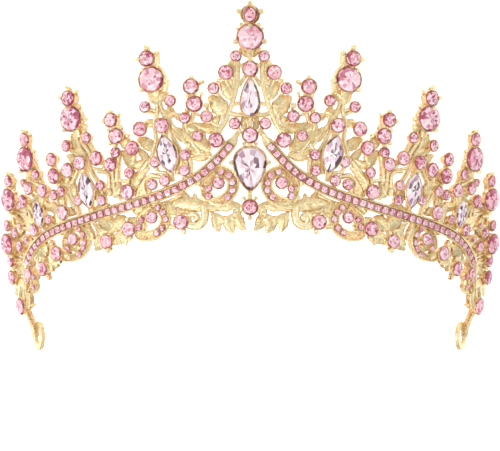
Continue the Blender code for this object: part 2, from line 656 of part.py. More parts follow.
def lay_down(pieces):
    """Turn the pieces as the tiara rests and put them on the floor, centred."""
    turned = Matrix.Rotation(resting_turn(pieces), 4, "X")
    for piece in pieces:
        piece.data.transform(turned)
    points = [vertex.co for piece in pieces for vertex in piece.data.vertices]
    low = Vector([min(point[axis] for point in points) for axis in range(3)])
    high = Vector([max(point[axis] for point in points) for axis in range(3)])
    drop = Vector((-(low.x + high.x) / 2, -(low.y + high.y) / 2, -low.z))
    for piece in pieces:
        piece.data.transform(Matrix.Translation(drop))


def main():
    """Model the tiara and lay it down as it rests."""
    for old in list(bpy.data.objects):
        bpy.data.objects.remove(old)

    goldwork = left_goldwork()
    goldwork += [mirrored(solid) for solid in goldwork if not straddles(solid)]
    rooms = []
    stones = []
    for stone in main_stones():
        name, column, row, width, height, cut, lean, girdle = stone
        turn, rise = place(column, row, girdle * MM)
        small = min(width, height) * MM
        solid = loft([[(x, y, level) for x, y in outline(cut, width * MM, height * MM, scale)]
                      for scale, level in ((BELLY_SCALE, -BELLY_PART * small), (1.0, 0.0),
                                           (TABLE_SCALE, CROWN_PART * small))])
        colour = PINK if cut == "round" else CLEAR
        sides = [("", 1)] if column == CENTRE_COLUMN else [("_left", 1), ("_right", -1)]
        for side, sign in sides:
            matrix = wall_matrix(turn * sign, rise, girdle * MM, math.radians(lean) * sign)
            stones.append((name + side, solid, matrix, colour))
            goldwork.append(cup(stone) if sign == 1 else mirrored(cup(stone)))
            rooms.append(stone_room(stone) if sign == 1 else mirrored(stone_room(stone)))
    drawn = {stone[0]: stone for stone in main_stones()}
    for name, angles in CLAWS:
        for angle in angles:
            post = claw(drawn[name], math.radians(angle))
            goldwork.append(post)
            if angle != 90 or drawn[name][1] != CENTRE_COLUMN:
                goldwork.append(mirrored(post))
    row_room = swept(spaced_course(row_course(), 2 * ROW_PITCH),
                     [(-ROW_WIDTH / 2 - FIT_GAP, CAST_FRONT), (ROW_WIDTH / 2 + FIT_GAP, CAST_FRONT),
                      (ROW_WIDTH / 2 + FIT_GAP, ROOM_TOP), (-ROW_WIDTH / 2 - FIT_GAP, ROOM_TOP)])
    rooms += [row_room, mirrored(row_room)]

    pieces = []
    mesh = wrap(fuse("frame", goldwork, rooms, FRAME_DETAIL))
    pieces.append(add_object("frame", mesh, material("frame_gold", GOLD, 1.0, 0.25)))
    row_solids = stone_row()
    for side, solids in (("left", row_solids), ("right", [mirrored(solid) for solid in row_solids])):
        name = "row_" + side
        mesh = wrap(fuse(name, solids, detail=ROW_DETAIL))
        pieces.append(add_object(name, mesh, material(name + "_pink", PINK, 0.2, 0.1)))
    for name, solid, matrix, colour in stones:
        mesh = make_mesh(name, solid)
        mesh.transform(matrix)
        pieces.append(add_object(name, mesh, material(name + "_glass", colour, 0.0, 0.05)))
    lay_down(pieces)


main()
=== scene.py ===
"""A gilt tiara with rose pink and clear cut stones, lying face up on a pale floor."""
import math

import bmesh
import bpy
import numpy as np
from mathutils import Matrix, Vector


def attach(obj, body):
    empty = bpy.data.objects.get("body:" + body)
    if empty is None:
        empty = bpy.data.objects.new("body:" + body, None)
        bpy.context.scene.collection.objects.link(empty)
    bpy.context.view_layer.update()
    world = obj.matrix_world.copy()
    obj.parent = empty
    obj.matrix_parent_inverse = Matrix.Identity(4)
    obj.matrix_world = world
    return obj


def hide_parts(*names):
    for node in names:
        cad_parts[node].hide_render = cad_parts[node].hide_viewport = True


bl_info = {
    "name": "Gilt Tiara",
    "version": (1, 0, 0),
    "blender": (4, 5, 0),
    "location": "3D View > Sidebar > Tiara",
    "description": "Leaf and scroll goldwork, cut stones and a pale studio for a tiara",
    "category": "Object",
}

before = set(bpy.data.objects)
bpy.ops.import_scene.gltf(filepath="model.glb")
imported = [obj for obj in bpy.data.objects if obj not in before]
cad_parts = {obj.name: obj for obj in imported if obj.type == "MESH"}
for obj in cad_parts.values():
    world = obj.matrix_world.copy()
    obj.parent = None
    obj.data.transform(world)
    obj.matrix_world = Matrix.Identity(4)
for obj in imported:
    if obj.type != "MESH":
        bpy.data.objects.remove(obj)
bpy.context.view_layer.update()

MM = 0.001

# Signs of the left half and of its mirror image
HALVES = (1, -1)

# The cone that the tiara is bent round, and the front drawing that is carried onto it
LEVEL_RADIUS = 92 * MM
FLARE = math.radians(22)
STEP = 0.31 * MM
CENTRE_COLUMN = 250.0
AXIS_ROW = 170.0
LEVEL_ROW = 150.0
EYE_DISTANCE = 500 * MM
EYE_DROP = math.radians(28)

# Ways from the standing tiara to the eye, and up in its picture
VIEW_OUT = np.array([0, -math.cos(EYE_DROP), -math.sin(EYE_DROP)])
VIEW_UP = np.array([0, -math.sin(EYE_DROP), math.cos(EYE_DROP)])

# How the standing tiara is turned and moved to lie on the claws of its outer spires and its end spires
REST_TURN = math.radians(-147.90987)
REST_SHIFT = (0.0, -59.775 * MM, -18.756 * MM)

# Half of the distance between the ends
HALF_LENGTH = 83.5 * MM

# Photograph's width and height, and how wide the camera's film is
PICTURE_WIDTH = 500
PICTURE_HEIGHT = 451
FILM = 36.0

# Heights of the metal above the wall
BACK = -0.8 * MM
SHEET = 0.3 * MM
FULL_DEPTH = 9.0 * MM
INNER_DEPTH = 3.0 * MM
OUTER_DEPTH = 1.8 * MM

# Left of this column cups and webs are shallow
OUTER_COLUMN = 30

# Marks nearer than this to the centre line, in columns, are on it, and such turns count as the left half's
ON_CENTRE = 0.5
ON_MIDDLE = 1e-6

# Past this turn from the front, in radians, stones face forward by this part of what is past it
SIDE_TURN = 0.75
TURNED_BACK = 0.35

# Points this near each other are one, and edges sharper than this aren't smoothed
MERGE_DISTANCE = 1e-7
CREASE = math.radians(40)

# What makes the chances of facets and stones, and how far apart the chances of different pieces start
SCATTER_STEP = 12.9898
SCATTER_SIZE = 43758.5453
FACET_SEED = 37
STONE_SEED = 11

# Tones of the pink and of the clear facets; facets that face LIT_WAY get painted light
FACET_LEVEL = -0.10
FACET_PAINTED_LIGHT = 0.28
STONE_CHANCE = 0.28
END_SHARE = 0.22
LIT_WAY = (-0.35, -0.85, 0.4)
CLEAR_LEVEL = 0.04
CLEAR_CHANCE = 0.96
CLEAR_SIDE = 0.30

# Cuts: how a navette and a pear narrow, and how far out or in the corners of the star facets are pushed
NAVETTE_POINT = 0.8
PEAR_NARROWING = 0.38
STAR_PUSHES = ((-4, 1.06), (-3, 0.92), (-2, 1.35))
WIDE_STONE = 6 * MM

# Cups: their feet as parts of the stone, how dark the painted shadow in the gap round a clear stone is, the
# painted shade towards the centre line and below, and the collar under the crest stone
ROUND_FOOT = 0.5
SPIRE_FOOT = 0.8
CLEAR_SEAM_SHADOW = 0.35
PAINTED_SHADE_INWARDS = 0.8
PAINTED_SHADE_UPWARDS = 0.5
COLLAR_DROP = 0.5 * MM
COLLAR_WIDTH = 1.34
COLLAR_HEIGHT = 1.10

# Claws and beads: parts of the stone's size or the bead's radius, and how far below the girdle claws start
BEAD_SIZE = 2.2
CLAW_FOOT = 0.42
CLAW_BOW = 0.12
CLAW_THICKNESS = 0.58
CLAW_SINK = 1.6 * MM
CLAW_ROWS = 6
CLAW_SIDES = 6

# Height out of the wall of a mark, in mm: a base, and a share of its third value
SMALL_GIRDLE = (0.9, 0.22)
SCROLL_GIRDLE = (1.25, 0.0)
PRONG_TOP = (0.0, 1.0)

# Leaves and broad leaf bodies: their grids, the leaf's part of its drawn width, and what stands on them
LEAF_ROWS = 26
LEAF_COLUMNS = 13
LEAF_BREADTH = 0.66
LEAF_BACK = 0.96
LEAF_VEIN = 0.08 * MM
MIDRIB = 0.22 * MM
TIP_CURL = 0.35 * MM
PLATE_ROWS = 40
PLATE_COLUMNS = 15
PLATE_VEIN = 0.07 * MM
EVEN_ROWS = 100
EDGES = ((0, 0), (1, 1))

# Wires and webs: the wire's flat back, how far a web lies below its cups, and what its relief keeps to; a
# web's relief is painted shade where it lies low and lighter where it stands high
WIRE_BACK = 0.9
BAND_WIDTH = 3.6
LINK_ROWS = 14
LINK_SINK = 0.5 * MM
LINK_RELIEF = (-0.1, 0.9)

# Scrolls: the left half of the section as (part of the half width, height in mm, relief), and the beading;
# the relief is painted shade on the trough's floor and painted highlight on top of the rails
SCROLL_ROWS = 60
SCROLL_SECTION = [
    (-0.92, 0.0, 0.4), (-1.0, 0.6, 0.5), (-0.97, 1.15, 0.8), (-0.84, 1.45, 1.3), (-0.68, 1.30, 1.0),
    (-0.56, 0.80, 0.1), (0.0, 0.72, 0.1),
]
RAIL_HEIGHT = 1.2
BEADING = 0.10 * MM

# Stone rows: the height that the row is drawn at, the channel's section as above, how its stones are
# spaced and how high they sit, and the bars between them, with a section as (along the row, height) in mm
ROW_DRAWN_HEIGHT = 1.75 * MM
ROW_WIDTH = 3.0 * MM
ROW_PITCH = 2.6 * MM
ROW_GIRDLE = 1.72 * MM
ROW_SECTION = [
    (-0.97, 0.6, 0.2), (-1.0, 0.7, 0.3), (-1.0, 1.75, 0.6), (-0.96, 1.95, 0.9), (-0.89, 1.95, 0.7),
    (-0.85, 1.15, 0.1),
]
BAR_REACH = 1.25
BAR_ACROSS = (-1.0, -0.6, 0.6, 1.0)
BAR_SECTION = [(-0.13, 1.1), (-0.13, 1.72), (0.0, 1.84), (0.13, 1.72), (0.13, 1.1)]

# Finishes: the pieces' finish and slot, the coats, the cast grain of the gold, and the fixed colours; the
# bright ones are painted glints on the stones' facets
ROSE = ("rose_crystal", "pink_stone")
CLEAR = ("clear_crystal", "clear_stone")
COAT_ROUGHNESS = 0.06
CRYSTAL_COAT = 0.3
GRAIN_SIZE = 0.6 * MM
GRAIN_DEPTH = 0.25 * MM
GRAIN_SHARE = 1.5
GRAIN_DARK = 0.01
PINK_PAINTED_GLINT = (0.98, 0.84, 0.89)
PINK_WARMTH = (1.0, 0.85, 0.84)
CLEAR_PAINTED_GLINT = (1.0, 1.0, 1.0)
CLEAR_WARMTH = (1.0, 0.80, 0.82)

# Studio: the floor, the light of the room, and lamps as name, place, size and share of the power
FLOOR_HALF = 3.0
FLOOR_COLOUR = (0.95, 0.95, 0.95, 1)
FLOOR_GLOW = (1, 1, 1, 1)
ROOM_COLOUR = (0.80, 0.80, 0.82, 1)
ROOM_LIGHT = 0.35
LAMP_AIM = (0, 0, 0.02)
LAMPS = [
    ("key", (-0.35, 0.15, 0.55), 0.30, 1.0), ("fill", (0.45, 0.30, 0.45), 0.45, 0.6),
    ("top", (0.0, -0.35, 0.60), 0.35, 0.7),
]

# Main stones: name, column, row, width and height in mm, cut, lean in degrees, girdle height in mm
MAIN_STONES = [
    ("stone_crest", 250, 15.0, 4.0, 4.9, "round", 0, 3.6),
    ("stone_crown", 250, 37.4, 8.2, 8.2, "round", 0, 2.6),
    ("stone_neck", 250, 69.0, 4.7, 4.7, "round", 0, 2.2),
    ("stone_upper_pear", 250, 97.5, 5.7, 12.0, "pear_up", 0, 2.2),
    ("stone_heart", 250, 135.2, 4.7, 4.7, "round", 0, 2.6),
    ("stone_lower_pear", 250, 168.5, 9.6, 13.8, "pear_down", 0, 2.2),
    ("stone_foot", 250, 207.0, 4.7, 4.7, "round", 0, 2.2),
    ("spire_b_tip", 190.9, 86.6, 4.7, 4.7, "round", 0, 2.2),
    ("spire_b_main", 194.2, 103.8, 4.9, 4.9, "round", 0, 2.2),
    ("spire_a_tip", 146.8, 58.8, 4.9, 4.9, "round", 0, 3.0),
    ("spire_a_main", 151.2, 79.5, 8.1, 8.1, "round", 0, 2.6),
    ("spire_c_tip", 110.6, 120.0, 4.5, 4.5, "round", 0, 2.2),
    ("spire_c_main", 115.9, 136.0, 4.9, 4.9, "round", 0, 2.2),
    ("spire_d_tip", 68.2, 98.4, 4.9, 4.9, "round", 0, 3.0),
    ("spire_d_main", 71.0, 118.6, 8.1, 8.1, "round", 0, 2.6),
    ("spire_e_main", 53.6, 175.9, 4.9, 4.9, "round", 0, 2.2),
    ("spire_f_tip", 24.5, 139.9, 4.4, 4.4, "round", 0, 3.0),
    ("spire_f_main", 25.3, 159.0, 8.1, 8.1, "round", 0, 2.6),
    ("spire_g_main", 8.2, 199.6, 7.6, 7.6, "round", 0, 2.4),
    ("spire_h_main", 6.8, 244.0, 7.0, 7.0, "round", 0, 2.8),
    ("navette_inner", 167.2, 154.0, 6.6, 12.4, "navette", 9, 2.0),
    ("navette_middle", 86.3, 190.4, 6.2, 11.8, "navette", -2, 2.0),
    ("navette_outer", 38.5, 214.0, 5.2, 9.4, "navette", -8, 2.0),
]

# Small round stones of the left half: column, row, diameter in mm
SMALL_STONES = [
    (235.8, 56.4, 3.4), (225.8, 72.5, 4.6), (213.5, 88.4, 3.5), (234.6, 123.5, 3.5), (184.7, 117.8, 3.5),
    (206.5, 116.4, 3.7), (216.0, 140.0, 4.6), (197.6, 135.8, 3.4), (185.0, 154.8, 3.4), (184.3, 170.4, 3.4),
    (164.5, 180.5, 3.4), (151.9, 184.3, 3.4), (144.9, 107.1, 3.5), (170.1, 100.7, 3.6), (161.9, 125.5, 4.7),
    (139.8, 129.0, 4.6), (132.1, 148.2, 4.7), (155.1, 161.9, 3.4), (129.3, 172.6, 3.4), (127.1, 191.8, 4.8),
    (115.3, 152.6, 3.4), (110.3, 164.4, 4.4), (96.1, 158.2, 4.6), (86.3, 137.8, 3.6), (66.3, 145.8, 3.7),
    (79.6, 162.7, 4.7), (67.3, 170.2, 4.7), (99.9, 185.4, 3.2), (101.3, 200.2, 3.4), (77.8, 200.3, 3.3),
    (51.3, 159.5, 4.3), (61.0, 191.4, 3.5), (53.5, 195.0, 3.4), (42.1, 190.4, 4.6), (62.4, 212.6, 4.7),
    (48.2, 219.5, 2.9), (35.5, 174.3, 3.6), (28.3, 188.4, 4.3), (22.6, 201.5, 4.4), (33.4, 230.0, 4.1),
    (8.2, 181.5, 4.2), (6.9, 225.7, 3.8), (14.5, 233.0, 3.6), (19.5, 246.4, 3.8), (10.2, 260.5, 4.5),
    (11.4, 277.5, 5.0), (20.0, 306.5, 5.8), (180.6, 222.0, 4.7), (128.3, 229.0, 4.8), (106.1, 241.7, 4.6),
    (55.9, 253.5, 4.8), (42.1, 268.8, 4.8), (28.0, 273.5, 3.9), (218.2, 182.7, 3.8), (151.3, 217.2, 3.8),
    (72.7, 239.1, 4.0),
]

# Tiny stones along the scrolls of the left half: column, row, diameter in mm
SCROLL_STONES = [
    (221, 171.9, 2.1), (229, 175.4, 2.2), (232.2, 182.1, 2.2), (232.5, 190.1, 2.2), (227.4, 197.1, 2.2),
    (208.5, 188.4, 2.2), (208.3, 195.7, 2.4), (157.3, 207.6, 2.1), (162.7, 212.1, 2.1), (165.5, 219.0, 2.1),
    (161.8, 228.0, 2.1), (156.4, 233.1, 2.1), (141.4, 219.7, 2.1), (138.5, 227.0, 2.3), (78.3, 228.7, 2.1),
    (82.7, 234.8, 2.1), (83.9, 242.5, 2.1), (82.7, 248.6, 2.1), (78.9, 254.7, 2.1), (67.4, 241.3, 2.0),
    (67.6, 248.6, 2.0), (29.1, 263.9, 2.1), (33.3, 277.0, 2.1), (27.2, 280.7, 2.1), (33.0, 287.0, 2.1),
    (23.3, 182.8, 2.6), (18.4, 206.5, 2.2), (19.5, 226.0, 2.0), (25.7, 240.0, 2.4),
]

# Prong beads of the left half: column, row, height above the wall in mm, radius in mm
PRONGS = [
    (250, 3.9, 4.6, 0.95), (238.8, 12.0, 4.4, 0.95), (241, 25.2, 4.0, 0.7), (250, 26.2, 4.0, 0.6),
    (235.3, 42, 3.4, 0.9), (237.5, 29.5, 3.4, 0.55), (250, 51.3, 3.2, 0.7), (250, 56.3, 2.4, 0.75),
    (241.5, 66, 2.8, 0.6), (244, 78, 2.8, 0.6), (239.5, 131.5, 3.0, 0.75), (244, 144.3, 2.8, 0.6),
    (250, 124.3, 3.0, 0.7), (231.3, 162.5, 3.0, 0.75), (250, 194.5, 2.8, 0.7), (244, 198, 2.8, 0.6),
    (250, 218, 2.8, 0.7), (191.4, 77.0, 2.8, 0.65), (202, 82, 2.8, 0.8), (187.6, 96, 2.8, 0.6),
    (201.6, 94, 2.8, 0.6), (206.5, 105.5, 2.8, 0.9), (186.3, 109.5, 2.8, 0.6), (197.2, 114.6, 2.8, 0.6),
    (146.5, 47.7, 4.0, 1.0), (137.8, 59.5, 3.8, 0.85), (157.4, 53.2, 3.8, 0.95), (158.0, 66.3, 3.4, 0.8),
    (142, 70.6, 3.4, 0.65), (166.6, 81, 3.2, 1.0), (141.7, 90, 3.2, 0.8), (110, 111.4, 2.8, 0.6),
    (119.7, 114.6, 2.8, 0.6), (103, 121.5, 2.8, 0.6), (121, 126, 2.8, 0.6), (108.6, 130.3, 2.8, 0.6),
    (110, 143.6, 2.8, 0.6), (127.9, 135.9, 1.6, 0.8), (67.3, 87.2, 4.0, 0.75), (77.3, 91.5, 3.2, 0.65),
    (59.9, 98.1, 3.8, 0.65), (79.6, 105.5, 2.6, 0.65), (66.6, 108.8, 3.4, 0.65), (85.5, 119, 1.7, 0.9),
    (64, 130.5, 3.2, 0.65), (84.5, 127.5, 1.5, 0.65), (23.2, 130.8, 4.0, 0.7), (29.5, 134, 3.0, 0.6),
    (33.0, 151, 2.2, 0.65), (35, 160.5, 1.7, 0.75), (20.5, 171.5, 3.2, 0.65), (7.5, 173.5, 2.6, 0.65),
    (15, 216, 1.6, 0.8), (10, 213.5, 3.0, 0.65), (13.8, 190.8, 3.0, 0.65), (10.8, 256.3, 2.8, 0.65),
    (13.2, 269.5, 2.4, 0.65), (183.8, 232, 2.6, 0.85), (127, 219.5, 2.6, 0.6), (129.6, 239.5, 2.6, 0.65),
    (108, 250.5, 2.6, 0.85), (202, 188.8, 1.4, 0.75),
]

# Leaves of the left half: base column and row, tip column and row, width in mm, bend as a part of the
# length
LEAVES = [
    (231, 99, 219.5, 81.5, 3.0, 0.08), (224, 115, 208.4, 96.5, 4.2, 0.08), (218, 129, 193, 123, 2.4, -0.08),
    (209, 151, 189, 141, 2.8, 0.12), (196, 143, 183, 124, 2.6, -0.10), (211, 153, 190.5, 158, 2.0, -0.08),
    (183, 141.5, 171, 127, 2.4, 0.10), (171, 118, 163, 111, 2.0, 0.15), (168, 117, 175, 112, 2.0, -0.15),
    (172, 117, 168, 105, 2.0, 0.0), (157, 101, 146, 91, 2.6, 0.15), (158, 101, 168, 92, 2.6, -0.15),
    (158, 102, 156, 90, 2.4, 0.0), (156, 125, 142, 123.5, 2.0, 0.10), (152, 150, 137, 139, 3.0, 0.10),
    (132, 168, 121, 151, 3.0, 0.10), (130, 166, 145, 159, 2.0, 0.12), (148, 159, 139, 148, 2.0, -0.10),
    (181, 119.5, 174.5, 113, 1.8, 0.0), (132, 192, 149, 167, 2.6, -0.12), (190, 149, 199, 155, 2.0, 0.0),
    (86, 157, 70, 152, 2.4, 0.12), (79, 148, 71, 134, 2.4, -0.10), (74, 196, 66, 180, 2.6, 0.10),
    (92, 222, 108, 204, 2.8, -0.12), (113, 197, 119, 182, 2.2, 0.10), (108, 196, 108, 186, 2.0, 0.0),
    (60, 182, 74, 186, 2.2, 0.10), (99, 203, 96, 190, 2.0, 0.0), (58, 226, 50, 202, 3.2, 0.15),
    (56, 206, 43, 204, 2.6, -0.10), (46, 206, 36, 194, 2.2, 0.10), (36, 240, 24, 222, 3.4, 0.12),
    (36, 224, 22, 214, 2.8, -0.10), (32, 250, 22, 236, 3.0, 0.10), (36, 256, 39, 268, 2.0, 0.0),
    (20, 236, 16, 214, 2.8, 0.10), (76, 166, 66, 155, 2.2, 0.10), (66, 184, 64, 168, 2.0, 0.10),
    (206, 208, 172, 203, 3.2, 0.06), (186.5, 208, 182, 190, 1.8, 0.10), (197, 209, 194.8, 193, 1.7, -0.10),
    (217, 213, 218.8, 232, 2.6, 0.08), (228, 217, 233.3, 233, 2.9, 0.08),
    (237, 213, 245.6, 230.5, 2.6, 0.10), (168, 200, 176, 214, 2.8, 0.12), (134, 214, 146, 204, 2.6, -0.10),
    (140, 232, 126, 219, 2.6, 0.15), (126, 220, 112, 232, 3.8, 0.12), (112, 230, 93, 216, 3.8, 0.12),
    (104, 232, 94, 250, 3.0, -0.12), (127, 236, 112, 245, 3.2, 0.12), (120, 234, 124, 220, 2.2, 0.12),
    (92, 240, 86, 222, 2.6, -0.10), (70, 230, 60, 235, 2.4, 0.12), (64, 252, 70, 261, 3.0, 0.10),
    (58, 264, 50, 240, 3.2, -0.10), (46, 246, 38, 262, 4.2, 0.12), (52, 262, 56, 267, 3.0, 0.0),
    (40, 250, 48, 280, 3.0, 0.10), (30, 262, 20, 250, 3.2, 0.10), (24, 270, 16, 268, 3.0, -0.10),
    (26, 288, 14, 290, 3.8, 0.10), (24, 286, 15, 296, 2.6, 0.10), (50, 250, 51, 272, 2.0, 0.0),
    (66, 208, 74, 214, 2.2, 0.10),
]

# Broad leaf bodies of the left half: ridge in mm, number of veins, then one edge and the other
PLATES = [
    (0.6, 4, [(182, 123), (184, 131), (188, 139), (195, 146), (204, 151)],
     [(193, 123.5), (201, 127), (205, 131), (206, 137.5), (208.5, 142), (207, 149)]),
    (0.9, 5, [(171, 202), (180, 198), (190, 199), (200, 203), (214, 202.5)],
     [(173, 207), (182, 210), (192, 211.5), (203, 211), (215, 207)]),
    (0.7, 4, [(200, 205), (212, 202.5), (222, 203), (230, 200.5), (238, 202.5), (243, 206.5)],
     [(204, 211.5), (213, 211.5), (220, 210.6), (226.5, 211.6), (232, 210), (237, 213)]),
    (0.7, 3, [(241, 204), (243.5, 208), (241, 214), (238, 219)],
     [(233, 206), (233, 211), (231, 215), (226, 219)]),
    (0.8, 5, [(210, 211.5), (215, 212.4), (221, 215), (227, 215.8), (231.5, 214), (240, 214.5)],
     [(211.5, 219), (216, 226), (222, 223.5), (228, 225.5), (235, 224.5), (242, 222)]),
    (0.5, 2, [(212, 117.5), (213.5, 123), (217, 127)], [(218.5, 114.5), (220, 118), (219, 123)]),
    (0.5, 2, [(134.2, 197), (137.2, 188.4), (145.6, 176.4), (151.6, 172.8), (158.8, 174.6)],
     [(147, 194.4), (146.2, 188), (146.6, 181.5), (151.6, 178), (158.8, 179.6)]),
    (0.4, 2, [(176.5, 148), (176.8, 161), (174.4, 174.5)], [(178.8, 148), (186, 161.5), (177.8, 174.5)]),
    (0.4, 2, [(159, 202.5), (170, 199), (181, 193)], [(166, 203.5), (174, 200.5), (182, 197)]),
    (0.4, 2, [(177, 209), (184, 210), (190, 211)], [(178, 213.5), (184, 214.5), (190, 214)]),
    (0.5, 2, [(241.5, 117), (240.5, 122), (241.5, 129)], [(248.5, 117), (247.5, 122), (247, 129)]),
    (0.5, 2, [(238.5, 50), (243, 55.5), (247, 57.5), (250, 57)], [(241, 45.5), (245, 49.5), (250, 51.5)]),
    (0.5, 2, [(232.3, 58.5), (228.5, 62.5), (225.8, 66.5)], [(238, 61), (237, 68), (235, 74)]),
    (0.4, 2, [(147.5, 90), (148.3, 97), (150.5, 103)], [(158, 92), (155, 97), (152.5, 102.5)]),
    (0.4, 2, [(167.5, 89), (166, 95), (162, 101)], [(158, 92), (158.5, 98), (159, 103)]),
    (0.4, 1, [(158.5, 108.5), (160, 113), (163, 118)], [(161.5, 108), (165, 112.5), (167.5, 117)]),
    (0.5, 2, [(119.5, 141), (121, 146), (125, 150)], [(125, 136.5), (129, 139), (128, 146)]),
    (0.4, 2, [(91, 223), (95, 229), (96, 236), (92.5, 246)],
     [(98.5, 223), (101, 228), (107.5, 231.5), (96.5, 246)]),
    (0.4, 2, [(25.5, 171), (26, 178), (30, 180), (37, 185)],
     [(31, 171), (31.5, 176), (34, 179), (39, 181)]),
    (0.4, 1, [(42, 222), (42.5, 226), (43, 230)], [(44, 221), (49, 226), (50, 228)]),
    (0.4, 1, [(56, 197), (57, 202), (60, 205)], [(60, 197), (62, 199), (62, 204)]),
    (0.4, 2, [(70, 243), (71, 248), (74, 252)], [(77, 242), (79, 246), (80, 249)]),
]

# Stems of the left half: width in mm, then the columns and rows that they run through
STEMS = [
    (1.5, [(238, 60), (237, 84), (233, 100), (229, 112), (224, 124), (214, 136)]),
    (1.3, [(226, 80), (232, 94)]), (1.2, [(250, 54), (250, 63)]), (1.2, [(250, 76), (250, 80)]),
    (1.1, [(231, 104.5), (243, 103)]), (1.5, [(229, 112.5), (237, 115), (246, 114)]),
    (1.3, [(222, 112), (223, 124)]), (1.2, [(250, 116), (250, 128)]), (1.2, [(234, 124), (240, 131)]),
    (1.2, [(222, 128), (216, 138)]), (1.6, [(240, 131), (228, 146)]), (1.2, [(222, 139), (226, 144)]),
    (1.2, [(250, 142), (250, 148)]), (1.2, [(250, 190), (250, 200)]),
    (1.1, [(169, 104), (169, 116), (171.5, 124), (178, 131.5), (186.5, 144), (196, 152), (213, 157.5)]),
    (1.3, [(190, 106), (186, 116), (186, 126), (192, 142), (200, 152)]),
    (1.1, [(206, 116), (214, 124), (220, 126)]), (1.2, [(185, 152), (190, 144)]),
    (1.2, [(157, 92), (157, 113), (154, 124), (156, 140), (152, 158), (158, 172)]),
    (1.1, [(160, 98), (161.5, 108), (168, 119), (170, 132), (178, 146), (186, 160), (186, 172),
           (183, 180)]),
    (1.1, [(145, 107), (157, 112)]), (1.2, [(139, 128), (154, 124)]),
    (1.2, [(158, 176), (164, 180), (166, 190)]), (1.1, [(152, 184), (148, 196)]),
    (1.2, [(132, 148), (134, 158), (130, 172), (128, 190), (130, 204)]),
    (1.2, [(116, 143), (114, 152), (112.5, 166), (113.5, 180), (115.2, 192), (121, 199.5)]),
    (1.2, [(96, 159), (104, 162), (112, 172)]), (1.2, [(86, 138), (92, 148), (96, 158)]),
    (1.2, [(74, 126), (78, 140), (82, 150), (88, 160), (92, 172), (100, 186), (104, 200), (102, 212)]),
    (1.2, [(66, 146), (74, 152), (80, 160), (76, 174), (70, 190), (76, 204), (80, 218)]),
    (1.2, [(52, 160), (56, 176), (60, 190), (64, 202), (62, 216), (62, 227)]),
    (1.2, [(42, 190), (54, 194), (62, 192)]),
    (1.2, [(34, 166), (38, 174), (42, 188), (34, 200), (26, 204), (30, 214), (32, 230), (38, 240)]),
    (1.2, [(28, 188), (34, 196)]), (1.3, [(48, 219), (54, 226), (52, 232)]),
    (1.3, [(10, 182), (12, 196), (16, 210), (22, 214), (28, 214)]),
    (1.3, [(12, 212), (14, 226), (16, 236), (24, 240), (32, 244)]),
    (1.3, [(16, 236), (18, 248), (28, 252)]), (1.4, [(10, 252), (14, 262), (26, 262)]),
    (1.4, [(13, 277), (22, 272), (28, 274)]), (2.2, [(25.5, 262), (26, 276), (26, 290), (25, 300)]),
    (2.8, [(25, 297), (25.8, 306), (27.5, 314)]), (1.6, [(20, 306), (26, 306)]),
    (1.1, [(13, 254), (22, 255.5)]), (1.1, [(13, 258.5), (22.5, 260)]), (1.1, [(13.5, 263), (23, 264)]),
    (1.1, [(14, 267.5), (23, 268)]), (1.1, [(14, 272), (23, 272)]),
    (1.0, [(26.5, 310), (30, 306.5), (32.5, 305)]), (1.5, [(207, 196), (212, 203), (222, 205)]),
    (1.4, [(208, 190), (202, 188.5)]), (1.3, [(240, 208), (247, 207.5)]),
    (2.5, [(203.5, 207), (205, 214), (203.2, 222), (197.5, 226), (190, 225.5), (184, 221.5)]),
    (1.7, [(190, 224), (188.5, 218), (191.5, 214), (196, 215), (197, 218), (194, 220)]),
    (1.4, [(198, 186), (201, 176), (204, 172)]),
    (1.5, [(120, 152), (118, 162), (117.3, 172), (117.5, 182)]),
    (1.3, [(112, 181), (120, 180.5), (130, 181.5)]), (1.3, [(189.5, 157), (190.8, 166), (190, 175)]),
    (1.2, [(234, 66), (234.6, 78), (233, 88)]), (1.2, [(239, 86), (242.5, 80.5), (246, 75.5)]),
    (1.1, [(238, 63), (241, 66), (244.5, 64)]), (1.3, [(216.5, 80.8), (222, 80.5)]),
    (1.3, [(194, 110), (192.5, 117), (191, 123)]), (1.0, [(147.5, 110), (151, 113), (156, 115)]),
    (1.3, [(148.5, 161), (145.5, 165.5), (142, 170)]), (1.6, [(167, 226), (175, 227.5)]),
    (1.5, [(83, 143), (87, 148), (90.5, 154)]), (1.0, [(94, 168.5), (104, 169), (101.5, 163)]),
    (1.6, [(67.5, 195), (71, 201), (75, 208)]), (1.6, [(201, 196), (206, 201)]),
    (1.2, [(144, 221), (143.5, 227), (143, 233)]),
    (1.3, [(98, 171.5), (106, 172.5), (109, 178), (109, 188)]), (1.2, [(157, 172), (167, 173)]),
    (1.2, [(21, 181), (25, 184), (30, 189)]), (1.2, [(17, 205), (21, 208), (27, 210)]),
    (1.2, [(14, 226), (20, 226.5), (27, 229)]), (1.2, [(22, 238), (27, 241), (34, 242)]),
    (1.4, [(147, 200), (150, 208)]), (1.2, [(228, 77), (232, 83)]),
    (1.3, [(167, 215), (174, 216), (180, 220)]),
    (2.1, [(26.4, 310), (29.9, 319), (33.4, 328), (34.9, 337)]),
    (1.8, [(29, 179), (34, 183.3), (41, 186.5)]), (2.4, [(22.5, 286), (21.6, 294), (22, 301)]),
    (2.2, [(29.5, 292), (29.6, 299), (29, 307)]),
]

